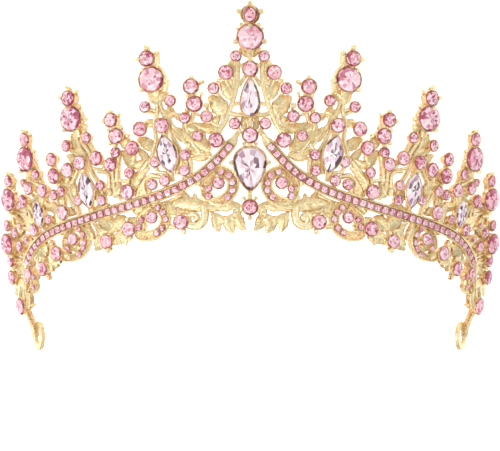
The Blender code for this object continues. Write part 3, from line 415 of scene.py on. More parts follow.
# Webs of the left half: width in mm, then column, row and height above the wall in mm, at both ends
LINKS = [
    (2.0, (250, 15.0, 3.6), (250, 37.4, 2.6)), (2.0, (250, 37.4, 2.6), (250, 69.0, 2.2)),
    (1.6, (250, 69.0, 2.2), (250, 97.5, 2.2)), (1.6, (250, 135.2, 2.6), (250, 168.5, 2.2)),
    (1.6, (250, 168.5, 2.2), (250, 207.0, 2.2)), (2.0, (250, 207.0, 2.2), (234, 210, 0)),
    (2.0, (190.9, 86.6, 2.2), (194.2, 103.8, 2.2)), (2.2, (146.8, 58.8, 3.0), (151.2, 79.5, 2.6)),
    (3.0, (151.2, 79.5, 2.6), (158, 104, 0)), (2.0, (110.6, 120.0, 2.2), (115.9, 136.0, 2.2)),
    (2.2, (68.2, 98.4, 3.0), (71.0, 118.6, 2.6)), (3.0, (71.0, 118.6, 2.6), (78, 138, 0)),
    (2.2, (24.5, 139.9, 3.0), (25.3, 159.0, 2.6)), (3.0, (25.3, 159.0, 2.6), (36, 172, 0)),
    (2.4, (8.2, 181.5, 1.8), (8.2, 199.6, 2.4)), (3.0, (8.2, 199.6, 2.4), (16, 212, 0)),
    (2.4, (6.8, 244.0, 2.8), (14, 226, 0)), (2.4, (6.8, 244.0, 2.8), (16, 262, 0)),
    (2.0, (166.0, 154.0, 2.0), (161.9, 125.5, 1.9)), (2.0, (166.0, 154.0, 2.0), (172, 182, 0)),
    (2.0, (86.3, 190.4, 2.0), (79.6, 162.7, 1.9)), (2.0, (86.3, 190.4, 2.0), (92, 220, 0)),
    (2.0, (38.5, 214.0, 2.0), (42.1, 190.4, 1.9)), (1.6, (106.1, 241.7, 1.9), (112, 226, 0)),
    (1.6, (28.3, 188.4, 1.9), (40, 200, 0)), (1.4, (72.7, 239.1, 1.8), (84, 240, 0)),
    (1.6, (128.3, 229.0, 1.9), (124, 244, 0)), (1.6, (53.6, 175.9, 2.2), (60, 190, 0)),
    (1.6, (42.1, 268.8, 1.9), (42, 252, 0)), (1.6, (22.6, 201.5, 1.9), (34, 214, 0)),
    (1.6, (33.4, 230.0, 1.8), (22, 228, 0)), (1.2, (213.5, 88.4, 1.5), (222, 100, 0)),
    (1.2, (7.7, 225.7, 1.7), (16, 226, 0)), (1.2, (235.8, 56.4, 1.5), (238, 66, 0)),
    (1.0, (155.4, 54, 3.2), (156.0, 66, 2.8)), (1.3, (159.0, 68, 2.6), (164.8, 80.5, 2.4)),
    (1.9, (164.3, 82.5, 2.0), (164, 93, 0.6)), (1.7, (82, 123.5, 1.6), (83, 133.5, 0.4)),
]

# Scroll bands of the left half: width in mm, then the columns and rows that they run through
SCROLLS = [
    (3.8, [(214, 170), (223, 171.5), (231, 177), (233.6, 185), (230.8, 193.5), (223.5, 200), (214, 203.5),
           (204, 204.5)]),
    (2.9, [(213, 198), (207, 195.5), (205.2, 188), (208.5, 179), (214, 171)]),
    (3.5, [(152, 206), (160, 208), (165.3, 215), (165.5, 223), (161.5, 230), (154, 235), (145, 236),
           (136, 234)]),
    (2.2, [(147, 226), (139.5, 226), (139.5, 219), (146, 212), (154, 207)]),
    (2.8, [(77, 225), (84, 232), (87, 241), (84, 250), (78, 256), (70, 258), (62, 256)]),
    (2.0, [(70, 250), (66.5, 247), (66, 240), (70, 232), (76, 227)]),
    (2.7, [(28, 260), (32, 270), (34.3, 279), (34.2, 288), (30.5, 293)]),
]

# The left stone row, from the centre out to the end, and the strip that carries it at both ends
ROW_COURSE = [
    (231.4, 144), (217, 160.4), (197.8, 177), (168.5, 192.2), (132, 204.9), (96.7, 215.3), (68.9, 225),
    (46, 235.6), (32.1, 250.1), (25.6, 265),
]
BAND_HEAD = (236, 137)
BAND_FOOT = (25.5, 272)

# The end loop: its middle, the middle radius of its flat bar, how much steeper than the wall it stands,
# and the bar's section as (away from the loop's middle, out of the wall) in mm
LOOP_MIDDLE = (37.6, 336.4)
LOOP_MIDDLE_RADIUS = 3.65 * MM
LOOP_TILT = FLARE / 2
LOOP_ROWS = 48
LOOP_SECTION = [
    (-1.2, -0.8), (-1.2, 0.0), (-0.85, 0.3), (0.85, 0.3), (1.2, 0.0), (1.2, -0.8), (0.6, -0.8),
    (-0.6, -0.8),
]


def unit(vectors):
    """Vectors of length one."""
    return vectors / np.linalg.norm(vectors, axis=-1, keepdims=True)


def cone_point(turn, rise, out):
    """Points on the standing cone: turned from the front, risen along its wall and moved outwards.

    radius = level radius + rise * sin(flare) + out * cos(flare)
    height = rise * cos(flare) - out * sin(flare)
    """
    radius = LEVEL_RADIUS + rise * math.sin(FLARE) + out * math.cos(FLARE)
    height = rise * math.cos(FLARE) - out * math.sin(FLARE)
    return np.stack([-radius * np.sin(turn), -radius * np.cos(turn), height + 0 * radius], axis=-1)


def wall_axes(turn):
    """Directions across the wall, up along it and out of it, at each turn."""
    level = np.zeros_like(turn)
    across = np.stack([np.cos(turn), -np.sin(turn), level], axis=-1)
    up = np.stack([-math.sin(FLARE) * np.sin(turn), -math.sin(FLARE) * np.cos(turn),
                   level + math.cos(FLARE)], axis=-1)
    return across, up, np.cross(across, up)


def faced(turn):
    """Turns that stones and cups face: each turn less the part TURNED_BACK of what is past SIDE_TURN."""
    return np.sign(turn) * (np.abs(turn) - TURNED_BACK * np.maximum(np.abs(turn) - SIDE_TURN, 0.0))


def place(columns, rows, out=0.0):
    """Turn and rise of drawn points: lines from the eye meet the cone x*x + y*y = (base + slope*z)**2."""
    columns = np.asarray(columns, float)
    rows = np.asarray(rows, float)
    eye = standing_eye()
    ray = (AXIS_ROW - rows)[..., None] * STEP * VIEW_UP - VIEW_OUT * EYE_DISTANCE
    ray[..., 0] += (columns - CENTRE_COLUMN) * STEP
    slope = math.tan(FLARE)
    eye_radius = LEVEL_RADIUS + np.asarray(out) / math.cos(FLARE) + slope * eye[2]
    a = ray[..., 0] ** 2 + ray[..., 1] ** 2 - (slope * ray[..., 2]) ** 2
    b = eye[0] * ray[..., 0] + eye[1] * ray[..., 1] - eye_radius * slope * ray[..., 2]
    c = eye[0] ** 2 + eye[1] ** 2 - eye_radius ** 2
    along = (-b - np.sqrt(np.maximum(b * b - a * c, 0.0))) / a
    hit = eye + ray * along[..., None]
    return np.arctan2(-hit[..., 0], -hit[..., 1]), (hit[..., 2] + out * math.sin(FLARE)) / math.cos(FLARE)


def standing_eye():
    """Where the eye stands, below the base plane of the standing tiara and in front of it."""
    aim_rise = (LEVEL_ROW - AXIS_ROW) * STEP / math.cos(EYE_DROP - FLARE)
    return cone_point(np.float64(0), np.float64(aim_rise), 0.0) + VIEW_OUT * EYE_DISTANCE


def laid(points):
    """Points of the standing tiara where they come to lie: turned about X and moved."""
    turn = np.array([[1, 0, 0], [0, math.cos(REST_TURN), -math.sin(REST_TURN)],
                     [0, math.sin(REST_TURN), math.cos(REST_TURN)]])
    return points @ turn.T + np.array(REST_SHIFT)


def placed(table, base, share):
    """Turn, rise, height out and size of drawn marks in both halves, those on the centre line once.

    The height out is base + share * the third value, in mm, and the size is the last value.
    """
    values = np.array(table, float)
    out = (base + share * values[:, 2]) * MM
    turn, rise = place(values[:, 0], values[:, 1], out)
    left = values[:, 0] < CENTRE_COLUMN - ON_CENTRE
    turn = np.concatenate([turn, -turn[left]])
    return turn, *[np.concatenate([item, item[left]]) for item in (rise, out, values[:, -1] * MM)]


def round_seats(table, girdle):
    """Seats of round stones, each a turn, rise, girdle height, width and height."""
    marks = placed(table, *girdle)
    return *marks, marks[-1]


def main_stones():
    """Each main stone's node, seat, cut and lean, in both halves."""
    marks = []
    for name, column, row, width, height, cut, lean, girdle in MAIN_STONES:
        turn, rise = place([column], [row], girdle * MM)
        sizes = [np.array([size * MM]) for size in (girdle, width, height)]
        sides = [(name, 1)] if column >= CENTRE_COLUMN else [(name + "_left", 1), (name + "_right", -1)]
        for node, sign in sides:
            marks.append((node, (sign * turn, rise, *sizes), cut, sign * math.radians(lean)))
    return marks


def sides_of(marks):
    """Signs of the halves that a course is built in: the left one alone if it touches the centre line."""
    columns = [mark[0] for mark in marks]
    touches = min(columns) >= CENTRE_COLUMN - ON_CENTRE or max(columns) > CENTRE_COLUMN + ON_CENTRE
    return (1,) if touches else HALVES


def grid_faces(rows, columns, closed=False):
    """Quads of a tube of rows and columns, wrapped round its columns, and round its rows if closed."""
    row, column = np.meshgrid(np.arange(rows if closed else rows - 1), np.arange(columns), indexing="ij")
    next_row = (row + 1) % rows
    next_column = (column + 1) % columns
    corners = [row * columns + column, row * columns + next_column, next_row * columns + next_column,
               next_row * columns + column]
    return np.stack(corners, axis=-1).reshape(-1, 4)


def tubes(points, relief):
    """Points, quads and relief of like tubes, given as (tube, row, column, xyz), both ends run to a point.

    Relief is about 0 in a hollow and 1 on a ridge. The mesh keeps it as height, and the gold's colour
    follows it: painted shade in the hollows and painted highlight on the ridges.
    """
    count, rows, columns, _ = points.shape
    first = np.broadcast_to(points[:, :1].mean(axis=2, keepdims=True), (count, 1, columns, 3))
    last = np.broadcast_to(points[:, -1:].mean(axis=2, keepdims=True), (count, 1, columns, 3))
    points = np.concatenate([first, points, last], axis=1)
    relief = np.concatenate([relief[:, :1], relief, relief[:, -1:]], axis=1)
    faces = grid_faces(rows + 2, columns)
    offsets = np.arange(count)[:, None, None] * (rows + 2) * columns
    return points.reshape(-1, 3), (faces[None] + offsets).reshape(-1, 4), relief.reshape(-1)


def make_piece(name, chunks, finish, smooth=True):
    """One closed mesh from chunks of points, quads and relief, laid down, merged and shaded."""
    points = np.concatenate([chunk[0] for chunk in chunks])
    starts = np.cumsum([0] + [len(chunk[0]) for chunk in chunks[:-1]])
    faces = np.concatenate([chunk[1] + start for chunk, start in zip(chunks, starts)])
    relief = np.concatenate([chunk[2] for chunk in chunks])
    mesh = bpy.data.meshes.new(name)
    mesh.vertices.add(len(points))
    mesh.vertices.foreach_set("co", laid(points).astype(np.float32).ravel())
    mesh.loops.add(faces.size)
    mesh.loops.foreach_set("vertex_index", faces.ravel().astype(np.int32))
    mesh.polygons.add(len(faces))
    mesh.polygons.foreach_set("loop_start", np.arange(len(faces), dtype=np.int32) * 4)
    mesh.update(calc_edges=True)
    layer = mesh.attributes.new("height", "FLOAT", "POINT")
    layer.data.foreach_set("value", relief.astype(np.float32))
    tidy = bmesh.new()
    tidy.from_mesh(mesh)
    bmesh.ops.remove_doubles(tidy, verts=tidy.verts, dist=MERGE_DISTANCE)
    bmesh.ops.recalc_face_normals(tidy, faces=tidy.faces)
    tidy.to_mesh(mesh)
    tidy.free()
    mesh.validate()
    if smooth:
        mesh.shade_smooth()
        mesh.set_sharp_from_angle(angle=CREASE)
    mesh.materials.append(finish)
    piece = bpy.data.objects.new(name, mesh)
    bpy.context.scene.collection.objects.link(piece)
    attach(piece, "root")
    return piece


def scattered(number):
    """Fractions from 0 to 1 that look like chance: those of a large sine of each number."""
    return np.modf(np.abs(np.sin(number * SCATTER_STEP) * SCATTER_SIZE))[0]


def listed(items, name, width=1, kind=np.float32):
    """What each item of a mesh's list holds under a name, so many numbers an item, in one flat array."""
    values = np.empty(len(items) * width, kind)
    items.foreach_get(name, values)
    return values


def facet_tones(piece, facets, clear):
    """Give each facet a tone from 0 to 1 and each stone a warmth, a stone being so many facets in a row.

    The tone is a level, plus a share of how far the facet faces LIT_WAY, which is painted light, plus the
    facet's chance, plus a share of the stone's chance - 0.5, less a share of (x / half length)**4, plus the
    mean relief of the corners. A clear stone's tone is a level, plus a share of the facet's chance, less a
    share of how far it faces left or right of the way that the stone faces, and each of its facets has a
    warmth of its own.
    """
    mesh = piece.data
    normals = listed(mesh.polygons, "normal", 3).reshape(-1, 3)
    start = sum(piece.name.encode())
    number = np.arange(len(normals)) + FACET_SEED * start
    stone = np.arange(len(normals)) // facets + STONE_SEED * start
    corners = listed(mesh.loops, "vertex_index", kind=np.int32)
    firsts = listed(mesh.polygons, "loop_start", kind=np.int32)
    carried = listed(mesh.attributes["height"].data, "value")
    relief = np.add.reduceat(carried[corners], firsts) / np.diff(np.append(firsts, len(corners)))
    slope = normals @ unit(np.array(LIT_WAY))
    end = (listed(mesh.polygons, "center", 3)[::3] / HALF_LENGTH) ** 4
    tone = (FACET_LEVEL + FACET_PAINTED_LIGHT * slope + scattered(number) + STONE_CHANCE * (scattered(stone) - 0.5)
            - END_SHARE * end + relief)
    if clear:
        side = np.abs((normals - normals.mean(axis=0))[:, 0])
        tone = CLEAR_LEVEL + CLEAR_CHANCE * scattered(number) - CLEAR_SIDE * side
        stone = number
    for name, values in (("tone", np.clip(tone, 0.0, 1.0)), ("warmth", scattered(stone + 0.5))):
        layer = mesh.attributes.new(name, "FLOAT", "FACE")
        layer.data.foreach_set("value", values.astype(np.float32))


def outline(cut, count):
    """Outline of a cut: a circle, a square with x**4 + y**4 = 1, a narrowing navette, or a pear."""
    angle = math.tau * np.arange(count) / count
    x = np.cos(angle)
    y = np.sin(angle)
    if cut == "square":
        size = (x ** 4 + y ** 4) ** 0.25
        x, y = x / size, y / size
    elif cut == "navette":
        x = x * np.abs(x) ** NAVETTE_POINT
    elif cut == "pear_up":
        x = x * (1.0 - PEAR_NARROWING * y)
    elif cut == "pear_down":
        x = x * (1.0 + PEAR_NARROWING * y)
    return x[None], y[None]


def turned(levels, columns, seat, cut="round", lean=0.0):
    """Turned solids on the wall: each level scales a cut's outline, adds a margin and lifts it outwards.

    Levels are (scale, margin, lift, lift per width, relief, depth of painted shade). A point is the middle
    plus the outline times half the size. Relief is less by that depth * (0.8 * inwards - 0.5 * upwards)
    where
    that is above zero: painted shade on the side towards the centre line and on the lower side.
    """
    turn, rise, girdle, width, height = seat
    middle = cone_point(turn, rise, girdle)
    across, up, out = wall_axes(faced(turn))
    ring_x, ring_y = outline(cut, columns)
    small = np.minimum(width, height)
    lean = np.broadcast_to(lean, turn.shape)[:, None]
    inwards = ring_x * np.sign(turn + ON_MIDDLE)[:, None]
    shade = np.maximum(PAINTED_SHADE_INWARDS * inwards - PAINTED_SHADE_UPWARDS * ring_y, 0.0)
    rings = []
    reliefs = []
    for scale, margin, lift, part, relief, painted_shade_depth in levels:
        x = ring_x * (width / 2 * scale + margin)[:, None]
        y = ring_y * (height / 2 * scale + margin)[:, None]
        side = x * np.cos(lean) - y * np.sin(lean)
        rising = x * np.sin(lean) + y * np.cos(lean)
        raised = (lift + part * small)[:, None, None] * out[:, None]
        rings.append(middle[:, None] + side[..., None] * across[:, None] + rising[..., None] * up[:, None]
                     + raised)
        reliefs.append(relief - painted_shade_depth * shade)
    return tubes(np.stack(rings, axis=1), np.stack(reliefs, axis=1))


def course_axes(turn, rise):
    """Middles of a course on the wall, and the ways across it, along it and out of the wall."""
    middle = cone_point(turn, rise, 0.0)
    out = wall_axes(turn)[2]
    along = unit(np.gradient(middle, axis=0))
    return middle, unit(np.cross(out, along)), along, out


def ribbon(turn, rise, half_width, section_side, section_height, relief):
    """One closed strip on the wall: each row of a course carries a section, across it and out of the wall.

    A point is course + side * half_width * section_side + out * section_height.
    """
    middle, side, _, out = course_axes(turn, rise)
    across = np.broadcast_to(half_width, turn.shape)[:, None] * section_side
    lifts = np.broadcast_to(section_height, across.shape)
    points = middle[:, None] + side[:, None] * across[..., None] + out[:, None] * lifts[..., None]
    return tubes(points[None], np.broadcast_to(relief, across.shape)[None])


def whole_section(half):
    """Columns of a section given by its left half, whose points left of the middle come again mirrored."""
    half = np.array(half)
    right = half[half[:, 0] < 0][::-1] * (-1, 1, 1)
    return np.concatenate([half, right]).T


def half_round(count):
    """How far across a wire each point of its section lies, and how high its half circle stands there."""
    arc = np.linspace(math.pi, 0, count)
    return np.concatenate([[-WIRE_BACK], np.cos(arc), [WIRE_BACK]]), np.sin(arc)


def smooth_course(marks, rows, out=SHEET):
    """Turns and rises along drawn marks: a Catmull-Rom curve, with the same share of rows to each span."""
    marks = np.asarray(marks, float)
    values = np.stack(place(marks[:, 0], marks[:, 1], out), axis=-1)
    last = len(values) - 1
    step = np.linspace(0, last, rows)
    index = np.minimum(step.astype(int), last - 1)
    part = (step - index)[:, None]
    before = values[np.maximum(index - 1, 0)]
    start = values[index]
    end = values[index + 1]
    after = values[np.minimum(index + 2, last)]
    course = 0.5 * (2 * start + (end - before) * part
                    + (2 * before - 5 * start + 4 * end - after) * part ** 2
                    + (3 * start - before - 3 * end + after) * part ** 3)
    return course[:, 0], course[:, 1]


def walked(turn, rise):
    """The way walked along a course up to each of its rows."""
    steps = np.linalg.norm(np.diff(cone_point(turn, rise, 0.0), axis=0), axis=-1)
    return np.concatenate([[0.0], np.cumsum(steps)])


def evened(turn, rise, rows):
    """The same course with its rows at even distances along it."""
    walk = walked(turn, rise)
    wanted = np.linspace(0, walk[-1], rows)
    return np.interp(wanted, walk, turn), np.interp(wanted, walk, rise)


def leaf(mark, sign):
    """A veined leaf: its width swells as a power of a sine, a ridge runs along it and veins slant off it.

    height = 0.3 + swell * (ridge * (1 - |s|)**0.7 + vein * cos(2 pi * (6 t - 1.6 |s|))), with t along the
    leaf and s across it. A thin midrib stands on the ridge, and the tip curls up.
    """
    base_column, base_row, tip_column, tip_row, width, bend = mark
    turn, rise = place([base_column, tip_column], [base_row, tip_row], 0.6 * MM)
    t = np.linspace(0.0, 1.0, LEAF_ROWS)
    bow = bend * np.sin(math.pi * t)
    x = turn[0] + (turn[1] - turn[0]) * t - bow * (rise[1] - rise[0]) / LEVEL_RADIUS
    y = rise[0] + (rise[1] - rise[0]) * t + bow * (turn[1] - turn[0]) * LEVEL_RADIUS
    swell = np.sin(math.pi * (0.06 + 0.92 * t ** 0.8)) ** 0.75
    lobes = 1.0 + 0.07 * np.sin(math.tau * 3.5 * t)
    half = width * MM * LEAF_BREADTH * swell * lobes
    s = np.concatenate([[-LEAF_BACK], np.linspace(-1, 1, LEAF_COLUMNS), [LEAF_BACK]])
    inner = 1.0 - np.abs(s)
    ridge = (0.45 + 0.18 * width) * MM
    t = t[:, None]
    swell = swell[:, None]
    vein = LEAF_VEIN * np.cos(math.tau * (6.0 * t - 1.6 * np.abs(s)[None])) * (0.35 + inner)[None]
    midrib = MIDRIB * np.exp(-((s / 0.10) ** 2))
    curl = TIP_CURL * np.clip(t - 0.55, 0, 1)
    lifts = SHEET + (ridge * inner ** 0.7 + midrib)[None] * swell + vein * swell + curl
    lifts[:, [0, -1]] = BACK
    # Relief: painted shade as a dark line along the leaf's edges, painted highlight on the midrib and the
    # vein crests
    relief = 0.75 - 1.1 * s[None] ** 8 + 0.4 * vein / LEAF_VEIN + 0.8 * midrib[None] / MIDRIB
    return ribbon(sign * x, y, half, s, lifts, relief)


def stem(width, marks, sign, rows=30, high=0.85, taper=1.0):
    """A round wire: its top is a half circle, high times as tall as its half width, on a flat back.

    Its width grows from taper at its start to the whole width over the first tenth.
    """
    s, arch = half_round(9)
    half = width * MM / 2
    lifts = np.concatenate([[BACK], 0.15 * MM + half * (0.4 + high * arch), [BACK]])
    widths = half * (taper + (1 - taper) * np.clip(np.linspace(0, 10, rows), 0, 1))
    turn, rise = smooth_course(marks, rows)
    # Relief: painted highlight along the top of the wire and painted shade at its edges
    return ribbon(sign * turn, rise, widths, s, lifts, 1.1 - 1.2 * np.abs(s) ** 5)


def plate(mark, sign):
    """A broad leaf body between two drawn edges: a point is left * (1 - s) + right * s, with s from 0 to 1.

    height = swell * (0.3 + ridge * hump) + vein * hump * cos(2 pi * (t * veins + |2 s - 1|)), with t along
    the edges and hump = (4 s (1 - s))**0.7.
    """
    ridge, veins, left_marks, right_marks = mark
    left = evened(*smooth_course(left_marks, EVEN_ROWS), PLATE_ROWS)
    right = evened(*smooth_course(right_marks, EVEN_ROWS), PLATE_ROWS)
    t = np.linspace(0, 1, PLATE_ROWS)[:, None]
    s = np.linspace(0, 1, PLATE_COLUMNS)[None]
    turn, rise = [start[:, None] * (1 - s) + end[:, None] * s for start, end in zip(left, right)]
    swell = np.sin(math.pi * (0.08 + 0.84 * t)) ** 0.5
    hump = np.maximum(4 * s * (1 - s), 0.0) ** 0.7
    vein = PLATE_VEIN * np.cos(math.tau * (veins * t + np.abs(2 * s - 1))) * hump
    top = SHEET * swell + ridge * MM * hump * swell + vein
    # Relief: painted shade along both edges and painted highlight on the crests of the veins
    relief = 0.8 - 1.1 * np.abs(2 * s - 1) ** 8 + 0.45 * vein / PLATE_VEIN
    turn, rise, relief = [np.pad(values, EDGES, mode="edge") for values in (sign * turn, rise, relief)]
    return tubes(cone_point(turn, rise, np.pad(top, EDGES, constant_values=BACK))[None], relief[None])


def link(width, start, end, sign):
    """A web between two cups or from a cup down to the wall, its height going straight between them.

    Its back stays a web's depth below its top, or on the back of the wall where that is nearer.
    """
    ends = np.array([start, end], float)
    turns, rises = place(ends[:, 0], ends[:, 1], ends[:, 2] * MM)
    t = np.linspace(0, 1, LINK_ROWS)
    turn = turns[0] + (turns[1] - turns[0]) * t
    rise = rises[0] + (rises[1] - rises[0]) * t
    top = (start[2] + (end[2] - start[2]) * t) * MM - LINK_SINK
    s, arch = half_round(7)
    half = width * MM / 2
    lifts = np.maximum(top[:, None], 0.1 * MM) + half * 0.6 * arch[None] ** 0.7
    depth = OUTER_DEPTH if start[0] < OUTER_COLUMN else INNER_DEPTH
    low = np.maximum(top - depth, BACK)[:, None]
    lifts = np.concatenate([low, lifts, low], axis=1)
    return ribbon(sign * turn, rise, half, s, lifts, np.clip(lifts / MM, *LINK_RELIEF))


def scroll(width, marks, sign):
    """A trough with two rolled rails, a floor between them for tiny stones, and a beaded outer edge."""
    turn, rise = evened(*smooth_course(marks, 2 * SCROLL_ROWS), SCROLL_ROWS)
    s, top, relief = whole_section(SCROLL_SECTION)
    beading = BEADING * np.cos(math.tau * np.arange(SCROLL_ROWS) / 3.0)
    lifts = top[None] * MM + np.where(top > RAIL_HEIGHT, beading[:, None], 0.0)
    lifts[:, [0, -1]] = BACK
    bulge = np.sin(np.linspace(0.12, math.pi - 0.12, SCROLL_ROWS)) * 3.0
    return ribbon(sign * turn, rise, width * MM / 2 * np.clip(bulge, 0.35, 1.0), s, lifts, relief)


def stone_row(sign):
    """The channel of a stone row, its dividing bars, and the seats and leans of its stones."""
    course = smooth_course(ROW_COURSE, 200, ROW_DRAWN_HEIGHT)
    turn, rise = evened(*course, 120)
    s, top, relief = whole_section(ROW_SECTION)
    channel = ribbon(sign * turn, rise, ROW_WIDTH / 2, s, top * MM, relief)
    count = int(walked(*course)[-1] / ROW_PITCH)
    turn, rise = evened(turn, rise, 2 * count + 1)
    slant = np.arctan2(np.gradient(rise), -np.gradient(turn) * LEVEL_RADIUS)
    middle, side, along, out = [axis[2:2 * count:2, None, None] for axis in course_axes(sign * turn, rise)]
    across = np.array(BAR_ACROSS)[:, None, None] * BAR_REACH * MM
    ring = np.array(BAR_SECTION) * MM
    bars = middle + across * side + ring[:, :1] * along + ring[:, 1:] * out
    size = np.full(count, bpy.context.scene.tiara_looks.row_stone)
    seat = (sign * turn[1::2], rise[1::2], np.full(count, ROW_GIRDLE), size, size)
    return channel, tubes(bars, np.full(bars.shape[:3], 0.4)), seat, sign * slant[1::2]


def stones(seat, cut="round", lean=0.0, columns=16):
    """Cut stones: a flat table, star and kite facets, a thin girdle and a pavilion that runs to a culet."""
    levels = [(0.40, 0.0, 0.0, -0.26, -0.5, 0.0), (1.0, 0.0, 0.0, 0.0, -0.5, 0.0),
              (0.83, 0.0, 0.0, 0.115, 0.05, 0.0), (0.60, 0.0, 0.0, 0.17, 0.1, 0.0),
              (0.30, 0.0, 0.0, 0.17, 0.1, 0.0)]
    points, faces, relief = turned(levels, columns, seat, cut, lean)
    points = points.reshape(-1, len(levels) + 2, columns, 3)
    middle = points.mean(axis=2, keepdims=True)
    star = np.ones((1, len(levels) + 2, columns, 1))
    for level, push in STAR_PUSHES:
        star[:, level, 1::2] = push
    points = middle + (points - middle) * star
    return points.reshape(-1, 3), faces, relief


def cups(seat, rim, cut="round", lean=0.0, foot=ROUND_FOOT, deep=FULL_DEPTH, columns=24, seam_shadow=1.0):
    """Bezels: a tapered cup from the wall up to a thin rim round each stone, closed under the stone.

    How dark the painted shadow in the gap round the stone is, from 0 to 1; the foot and the inner lip under
    the stone take painted shade as well.
    """
    low = np.maximum(BACK - seat[2], -deep)
    light = 1.0 - seam_shadow
    levels = [(foot, 0.3 * MM, low, 0.0, -0.2, 0.0), (1.0, 0.9 * rim, -0.5 * MM, 0.0, 0.4, 0.1 * seam_shadow),
              (1.0, rim, 0.05 * MM, 0.0, 0.6, 0.6 * seam_shadow),
              (1.0, 0.55 * rim, 0.22 * MM, 0.0, 0.3 + 0.2 * light, 1.2 * seam_shadow),
              (1.0, -0.02 * MM, 0.12 * MM, 0.02, -0.1 + 0.5 * light, seam_shadow),
              (0.9, 0.0, -0.35 * MM, 0.0, -0.2 + 0.5 * light, seam_shadow)]
    return turned(levels, columns, seat, cut, lean)


def bead_row(turn, rise, top, radius):
    """Round beads at the ends of the claws: rings at even angles from one pole of a ball to the other."""
    angles = np.radians([-60, -20, 20, 60])
    levels = [(math.cos(angle), 0.0, 0.0, 0.5 * math.sin(angle), 1.0, 0.0) for angle in angles]
    return turned(levels, 8, (turn, rise, top, BEAD_SIZE * radius, BEAD_SIZE * radius))


def claws(turn, rise, top, radius, seats):
    """Bars that leave the nearest stone's cup below its girdle and bow outwards to each bead.

    path = start * (1 - t)**2 + 2 * bow * t * (1 - t) + end * t**2
    """
    end = cone_point(turn, rise, top)
    seat_turn, seat_rise, girdle, width, height = [np.concatenate(values) for values in zip(*seats)]
    middles = cone_point(seat_turn, seat_rise, girdle)
    sizes = np.minimum(width, height)
    near = (np.linalg.norm(end[:, None] - middles[None], axis=-1) - sizes[None] / 2).argmin(axis=1)
    size = sizes[near, None]
    out = wall_axes(turn)[2]
    ahead = end - middles[near]
    ahead = unit(ahead - out * (ahead * out).sum(axis=-1, keepdims=True))
    start = middles[near] + ahead * (size * CLAW_FOOT) - out * CLAW_SINK
    bow = start + ahead * (radius[:, None] + size * CLAW_BOW)
    t = np.linspace(0, 1, CLAW_ROWS)[None, :, None]
    path = start[:, None] * (1 - t) ** 2 + 2 * bow[:, None] * t * (1 - t) + end[:, None] * t ** 2
    along = unit(np.gradient(path, axis=1))
    side = unit(np.cross(ahead, out))[:, None] + 0 * along
    front = np.cross(side, along)
    angle = math.tau * np.arange(CLAW_SIDES)[:, None] / CLAW_SIDES
    ring = np.cos(angle) * side[:, :, None] + np.sin(angle) * front[:, :, None]
    points = path[:, :, None] + (radius * CLAW_THICKNESS)[:, None, None, None] * ring
    return tubes(points, np.full(points.shape[:3], 0.4))


def end_loop(sign):
    """A flat ring for a hair pin: a rounded bar carried round a circle, steeper than the wall."""
    turn, rise = place([LOOP_MIDDLE[0]], [LOOP_MIDDLE[1]])
    turn = sign * turn
    across, wall_up, wall_out = [axis[0] for axis in wall_axes(turn)]
    up = wall_up * math.cos(LOOP_TILT) - wall_out * math.sin(LOOP_TILT)
    out = wall_out * math.cos(LOOP_TILT) + wall_up * math.sin(LOOP_TILT)
    angle = math.tau * np.arange(LOOP_ROWS)[:, None] / LOOP_ROWS
    ray = np.cos(angle) * across + np.sin(angle) * up
    section = np.array(LOOP_SECTION) * MM
    bar = LOOP_MIDDLE_RADIUS + section[:, 0]
    points = cone_point(turn, rise, 0.0)[0] + ray[:, None] * bar[None, :, None] + out * section[None, :, 1:]
    # Relief: painted shade on the back of the bar, lighter towards its front
    relief = np.broadcast_to(0.5 + 0.4 * section[None, :, 1] / MM, points.shape[:2])
    return points.reshape(-1, 3), grid_faces(LOOP_ROWS, len(section), closed=True), relief.reshape(-1)


def set_inputs(node, values):
    """Give a node's named or numbered inputs their values."""
    for name, value in values.items():
        node.inputs[name].default_value = value


def new_node(tree, kind, values, **settings):
    """A new node of a kind, with its settings and the values of its inputs."""
    node = tree.nodes.new(kind)
    for name, setting in settings.items():
        setattr(node, name, setting)
    set_inputs(node, values)
    return node


